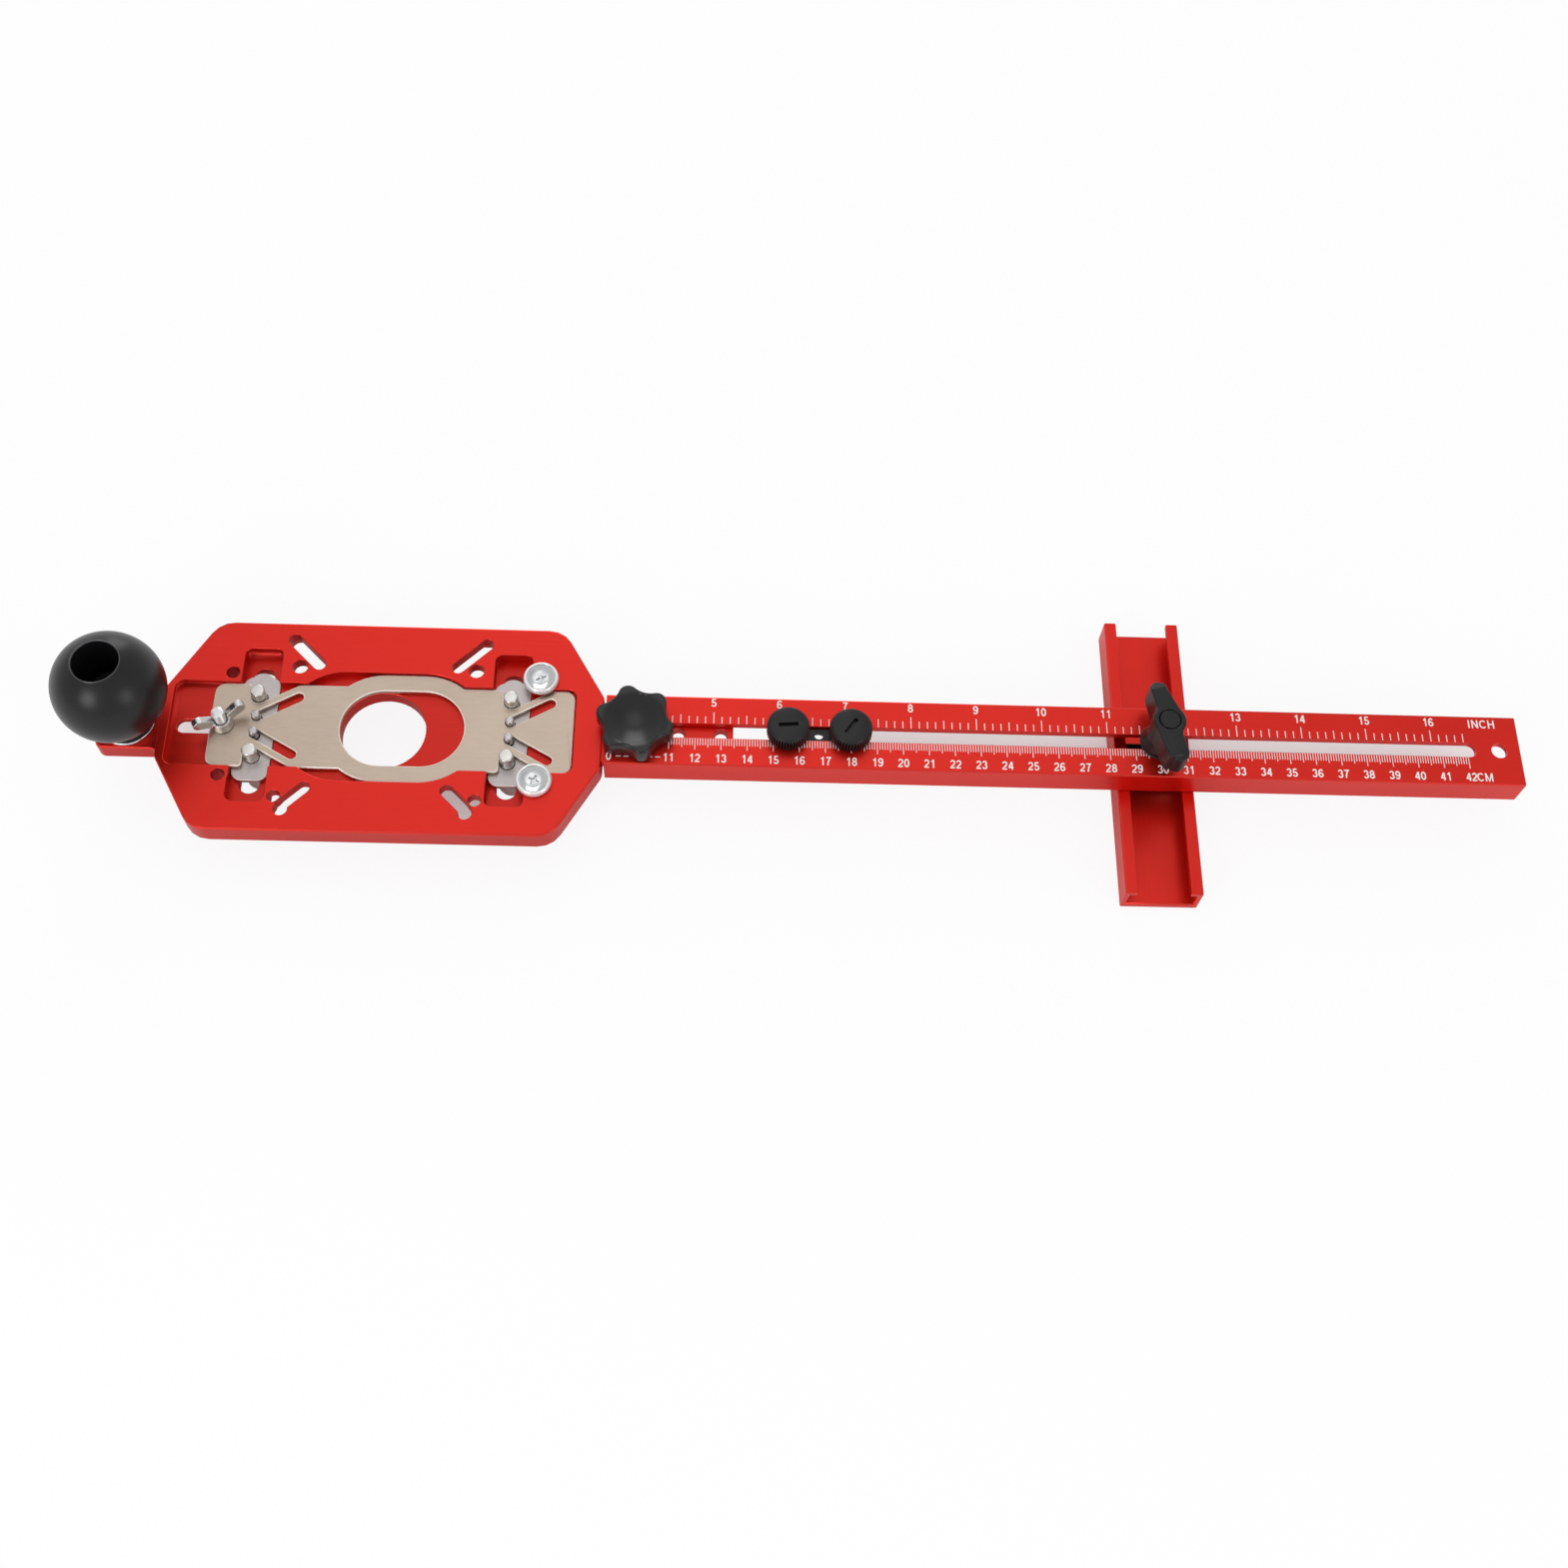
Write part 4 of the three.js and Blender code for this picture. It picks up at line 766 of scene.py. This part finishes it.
def ball_parts():
    radius, solid_radius, neck, lip, steps = 20.79, 20.8, 9.6, 9.0, 64
    bore, shank_hole, bore_depth = 8.5, 4.3, 26.7
    centre = RULER_TOP + 22.4
    foot = 24.3
    rim = centre + math.sqrt(solid_radius ** 2 - bore ** 2)
    floor = rim - bore_depth
    start = -math.acos(neck / radius)
    end = math.acos(lip / radius)
    arc = []
    for step in range(steps + 1):
        angle = start + (end - start) * step / steps
        arc.append((radius * math.cos(angle), centre + radius * math.sin(angle)))
    profile = [
        (shank_hole, foot), (9.8, foot), (10.1, foot + 0.12), (10.2, foot + 0.4),
        (10.2, foot + 1.05), (10.08, foot + 1.32), (neck, foot + 1.42), *arc,
        (8.8, rim - 0.02), (8.62, rim - 0.18), (8.52, rim - 0.45), (bore, rim - 0.9),
        (bore, floor + 0.3), (8.1, floor), (shank_hole, floor),
    ]
    ball = finish_piece("ball_grip_finished", lathe(profile, BALL_X, 0, 144), BALL_BLACK, "base",
                        ["ball_grip"])
    # The bore's rim gets a painted highlight in lighter black
    paint(ball, BLACK_PAINTED_HIGHLIGHT, BALL_X, 0, 8.51, 8.95, rim - 0.5)

    washer = rounded([
        (shank_hole, 21.4), (10.1, 21.4), (10.1, 22.7), (11, 22.9), (11, 24.0), (shank_hole, 24.0),
    ], 0.3, 4)
    finish_piece("grip_washer_finished", lathe(washer, BALL_X, 0, 96), ZINC, "base",
                 ["grip_washer"])

    head_top = floor + 8
    bolt = rounded([
        (0, 13.5), (4, 13.5), (4, floor), (6.5, floor), (6.5, head_top), (0, head_top),
    ], 0.4, 3)
    hexagon = [(0, floor + 4), (3.4, floor + 4), (3.4, floor + 9), (0, floor + 9)]
    work = cut(lathe(bolt, BALL_X, 0, 64), lathe(hexagon, BALL_X, 0, 6))
    finish_piece("grip_bolt_finished", work, BLACK_STEEL, "base", ["grip_bolt"])


# Star knob: lobes and waists in one smooth outline, a rim that slopes inwards and a bowl
def star_radius(angle):
    lobes, reach, lobe, waist, first = 6, 15.2, 3.7, 12.35, math.radians(45)
    pitch = TURN / lobes
    centre = reach - lobe
    spread = math.cos(pitch / 2)
    hollow = (lobe ** 2 - centre ** 2 - waist ** 2 + 2 * centre * waist * spread) / (
        2 * (waist - centre * spread - lobe))
    far = waist + hollow
    local = (angle - first + pitch / 2) % pitch - pitch / 2
    meet_x = centre + lobe * (far * spread - centre) / (lobe + hollow)
    meet_y = lobe * far * math.sin(pitch / 2) / (lobe + hollow)
    if abs(local) <= math.atan2(meet_y, meet_x):
        return centre * math.cos(local) + math.sqrt(lobe ** 2 - (centre * math.sin(local)) ** 2)
    from_waist = pitch / 2 - abs(local)
    return far * math.cos(from_waist) - math.sqrt(hollow ** 2 - (far * math.sin(from_waist)) ** 2)


def star_parts():
    bottom = RULER_TOP + HEAD_GAP
    low = RULER_TOP + 0.7
    high = low + 7.8
    sphere, edge, rings, points = 20.5, 10.75, 15, 168
    deep = sphere - math.sqrt(sphere ** 2 - edge ** 2)
    pole = high - 0.55 - deep

    def inset(amount):
        return lambda angle: star_radius(angle) - amount

    levels = [
        (None, bottom + 4.7), (2.45, bottom + 4.6), (2.45, bottom), (7.2, bottom),
        (7.5, bottom + 0.15), (7.6, low), (inset(1.9), low), (inset(1.0), low + 0.08),
        (inset(0.45), low + 0.3), (inset(0.12), low + 0.7), (inset(0.0), low + 1.2),
        (inset(0.0), high - 1.3), (inset(0.07), high - 0.85), (inset(0.22), high - 0.45),
        (inset(0.48), high - 0.17), (inset(0.85), high - 0.03), (inset(1.2), high),
        (11.05, high - 0.42), (10.9, high - 0.48),
    ]
    for step in range(rings):
        radius = edge * (1 - step / rings)
        levels.append((radius, pole + sphere - math.sqrt(sphere ** 2 - radius ** 2)))
    levels.append((None, pole))
    finish_piece("star_knob_finished", rings_solid(levels, points, STAR_X, 0), STAR_BLACK,
                 "star_knob", ["star_knob"], angle=50)
    stud = threaded(2.2, pitch=0.8, depth=0.28, bottom=16.0, top=bottom + 4.5, x=STAR_X)
    finish_piece("star_knob_stud_finished", stud, ZINC, "star_knob",
                 ["star_knob_stud"], angle=50)


# Thumb screws: ribbed sides, a flat top with a coin slot
def thumb_parts():
    foot = RULER_TOP + HEAD_GAP
    top = foot + 6.7
    ribs, points_per_rib, sharpness = 44, 8, 1.8
    half_slot, half_wide, slot_depth = 3.8, 0.85, 1.6
    socket = [(0, foot - 1), (2.15, foot - 1), (2.15, foot + 4.3), (0, foot + 4.3)]
    for name, side, degrees in (("left", -1, 4), ("right", 1, 55)):
        x = SLIDER_X + side * SCREW_SPACING / 2
        turn = math.radians(degrees)

        def ribbed(depth, base=8.2):
            def radius(angle):
                return base - depth * (0.5 - 0.5 * math.cos((angle - turn) * ribs)) ** sharpness
            return radius

        levels = [
            (None, foot), (7.3, foot), (ribbed(0.4, 8.0), foot + 0.25), (ribbed(0.9), foot + 0.6),
            (ribbed(0.9), top - 1.2), (ribbed(0.6, 8.1), top - 0.8), (7.6, top - 0.45),
            (7.5, top - 0.3), (7.3, top - 0.3), (7.15, top - 0.08), (6.9, top), (None, top),
        ]
        work = rings_solid(levels, ribs * points_per_rib, x, 0)
        work = cut(work, block(x - half_slot, x + half_slot, -half_wide, half_wide,
                               top - slot_depth, top + 1, turn, (x, 0)))
        work = cut(work, lathe(socket, x, 0, 32))
        body = name + "_thumb_screw"
        finish_piece(body + "_head_finished", work, BLACK, body,
                     [body + "_head"], angle=40)
        stud = threaded(1.9, pitch=0.7, depth=0.25, bottom=19.8, top=foot + 4, x=x, segments=32)
        finish_piece(body + "_stud_finished", stud, ZINC, body,
                     [body + "_stud"], angle=50)


# Cast and moulded pieces
SMOOTHING = 0.5


def moulded(node, material, body, voxel, rounds, added=None):
    """The node's form, with anything added, remeshed and smoothed so that its edges round off."""
    work = bmesh.new()
    work.from_mesh(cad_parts[node].data)
    bmesh.ops.remove_doubles(work, verts=work.verts, dist=WELD)
    if added is not None:
        added.transform(Matrix.Translation(ORIGIN) @ Matrix.Scale(MM, 4))
        work = merge(work, added)
    mesh = bpy.data.meshes.new(node + "_finished")
    work.to_mesh(mesh)
    work.free()
    piece = new_object(node + "_finished", mesh)
    remesh = piece.modifiers.new("skin", "REMESH")
    remesh.mode = "VOXEL"
    remesh.voxel_size = voxel * MM
    remesh.use_smooth_shade = True
    smooth = piece.modifiers.new("rounding", "SMOOTH")
    smooth.factor = SMOOTHING
    smooth.iterations = rounds
    bpy.context.view_layer.update()
    evaluated = piece.evaluated_get(bpy.context.evaluated_depsgraph_get())
    result = bpy.data.meshes.new_from_object(evaluated)
    piece.modifiers.clear()
    piece.data = result
    bpy.data.meshes.remove(mesh)
    result.materials.clear()
    result.materials.append(material)
    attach(piece, body)
    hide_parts(node)


# The shoulders beside the wing knob's wings: the turn and the plan of each
SHOULDERS = (
    (KNOB_TURN, ((0, -5.9), (12.5, -3.1), (12.5, 0), (0, 0))),
    (KNOB_TURN + math.pi, ((0, -5.9), (11, -5.4), (15.2, -4.7), (15.2, 0), (0, 0))),
)


def castings():
    moulded("wing_nut", CAST_ZINC, "wing_nut", voxel=0.2, rounds=5)
    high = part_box("wing_knob")[1].z / MM
    foot, top = high - 11.5, high - 0.03
    cap_radius, cap_foot = 4.2, high - 1.35
    cap_room = [(0, cap_foot), (cap_radius, cap_foot), (cap_radius, high + 1), (0, high + 1)]
    shoulders = []
    for turn, plan in SHOULDERS:
        shoulder = prism(plan, foot, top)
        placed = Matrix.Translation((FENCE_X, 0, 0)) @ Matrix.Rotation(turn, 4, "Z")
        shoulder.transform(placed)
        shoulders.append(cut(shoulder, lathe(cap_room, FENCE_X, 0, 48)))
    moulded("wing_knob", BLACK, "wing_knob", voxel=0.28, rounds=6,
            added=merge(*shoulders))
    from_node("wing_knob_cap", BLACK, "wing_knob", outer=0.25, inner=0.15)


# The floor: half its side and its drop under the part, in metres
FLOOR_HALF = 6.0
FLOOR_DROP = 0.0002
# The shares by which the camera and mirrors see the floor lifted towards white
SEEN_WHITE = 0.88
MIRRORED_WHITE = 0.05
# Under the bar's slot and two of the plate's slots the floor keeps more of its shade, as in the
# photograph: two corners in millimetres, and the share of the lifting that is left out there
SHADED = (
    ((176, 5), (441, 23), 0.72),
    ((18, -31), (38, -10), 0.66),
    ((-90, 3), (-70, 17), 0.48),
)
# Half the width of such a patch's soft border, in millimetres
SHADED_EDGE = 2


def floor():
    m = Nodes(bpy.data.materials.new("floor"))
    tint = m.noise(m.coordinates(), 2.0)
    m.fill(m.shader, {
        "Base Color": m.blend(tint, (0.96, 0.96, 0.96), (0.97, 0.97, 0.97)),
        "Roughness": 0.9,
        "Specular IOR Level": 0.1,
    })
    path = m.add("ShaderNodeLightPath").outputs
    mirrored = m.compute("MAXIMUM", path["Is Glossy Ray"], path["Is Transmission Ray"])
    mirrored = m.compute("MULTIPLY", mirrored, MIRRORED_WHITE)
    white = m.compute("MAXIMUM", mirrored, path["Is Camera Ray"])
    white = m.compute("MULTIPLY", white, SEEN_WHITE)
    for low, high, amount in SHADED:
        shade = amount
        for axis, middle, start, end in zip("XY", ORIGIN, low, high):
            place = m.axis(axis)
            for edge, towards in ((start, SHADED_EDGE), (end, -SHADED_EDGE)):
                outside = middle + (edge - towards) * MM
                inside = middle + (edge + towards) * MM
                shade = m.compute("MULTIPLY", shade, m.spread(place, 0.0, 1.0, outside, inside))
        white = m.compute("MULTIPLY", white, m.compute("SUBTRACT", 1.0, shade))
    glow = m.add("ShaderNodeEmission", {"Strength": 1.0})
    surface = m.add("ShaderNodeMixShader", {0: white, 1: m.shader.outputs[0], 2: glow.outputs[0]})
    m.fill(m.tree.nodes["Material Output"], {"Surface": surface.outputs[0]})

    mesh = bpy.data.meshes.new("floor")
    corners = [(x * FLOOR_HALF, y * FLOOR_HALF, 0) for x, y in ((-1, -1), (1, -1), (1, 1), (-1, 1))]
    mesh.from_pydata(corners, [], [(0, 1, 2, 3)])
    mesh.materials.append(m.owner)
    piece = new_object("floor", mesh)
    piece.location.z = -FLOOR_DROP


# The room's light overhead, by the way from its left to its right end: a position and a grey
OVERHEAD = (
    (0.0, 0.3), (0.30, 0.52), (0.36, 0.72), (0.41, 1.0), (0.46, 1.14), (0.50, 1.17), (0.56, 1.0),
    (0.63, 0.67), (0.70, 0.36), (1.0, 0.25),
)
# Where the overhead light begins and is full, upwards and backwards, and the grey elsewhere
OVERHEAD_RISE = (0.7, 0.93)
OVERHEAD_BEHIND = (-0.05, 0.3)
ROOM_GREY = (0.52, 0.52, 0.52, 1)
ROOM_STRENGTH = 1.33
# What the camera sees of the room, which comes out white at its strength
BACKDROP = (0.755, 0.755, 0.755, 1)


def room():
    """A white room: even near the horizon, brightest overhead and behind the plate."""
    w = Nodes(bpy.data.worlds.new("studio"))
    bpy.context.scene.world = w.owner
    generated = w.add("ShaderNodeTexCoord").outputs["Generated"]
    way = w.add("ShaderNodeSeparateXYZ", {0: generated}).outputs
    across = w.spread(way["X"], 0.0, 1.0, -1.0, 1.0)
    overhead = w.ramp(across, *[(position, (grey, grey, grey)) for position, grey in OVERHEAD])
    rise = w.spread(way["Z"], 0.0, 1.0, *OVERHEAD_RISE)
    behind = w.spread(way["Y"], 0.0, 1.0, *OVERHEAD_BEHIND)
    light = w.mix(w.compute("MULTIPLY", rise, behind), ROOM_GREY, overhead)
    seen = w.add("ShaderNodeLightPath").outputs["Is Camera Ray"]
    w.fill(w.shader, {"Color": w.mix(seen, light, BACKDROP), "Strength": ROOM_STRENGTH})


# Lamps: name, place, aim, width, height and power
LAMPS = (
    ("back", (-0.16, 1.5, 0.6), (-0.16, 0.0, 0.0), 0.7, 1.1, 4.7),
    ("left_front", (-0.77, -1.0, 0.74), (-0.2, 0.0, 0.0), 0.5, 0.6, 4.2),
    ("right_front", (0.94, -0.85, 0.6), (0.0, 0.0, 0.0), 0.5, 0.6, 2.4),
)


def lamps():
    for name, place, aim, width, height, power in LAMPS:
        data = bpy.data.lights.new(name, "AREA")
        data.shape = "RECTANGLE"
        data.size = width
        data.size_y = height
        data.energy = power
        item = new_object(name, data)
        item.location = Vector(place)
        item.rotation_euler = (Vector(aim) - Vector(place)).to_track_quat("-Z", "Y").to_euler()


# The camera fitted to the photograph: its focal length in pixels of the photograph, its place in
# millimetres from the bit's axis, and its yaw, pitch and roll in degrees
FOCAL_PIXELS = 1907.545
PHOTO_PIXELS = 1569
SENSOR = 36.0
CAMERA_PLACE = (130.606, -349.075, 644.294 + RULER_TOP)
CAMERA_TURNS = (-4.133, 26.97, 5.067)


def camera():
    data = bpy.data.cameras.new("camera")
    data.sensor_fit = "HORIZONTAL"
    data.sensor_width = SENSOR
    data.lens = SENSOR * FOCAL_PIXELS / PHOTO_PIXELS
    data.clip_start = 0.05
    data.clip_end = 20
    item = new_object("camera", data)
    yaw, pitch, roll = (
        Matrix.Rotation(math.radians(turn), 4, axis) for turn, axis in zip(CAMERA_TURNS, "ZXZ"))
    spot = ORIGIN + Vector(CAMERA_PLACE) * MM
    item.matrix_world = Matrix.Translation(spot) @ yaw @ pitch @ roll
    bpy.context.scene.camera = item
    bpy.context.scene.view_settings.view_transform = "Standard"


machined()
hole_webs()
carriage_turnings()
hold_screws()
lock_parts()
ball_parts()
star_parts()
thumb_parts()
castings()
ruler_scale()
floor()
room()
lamps()
camera()
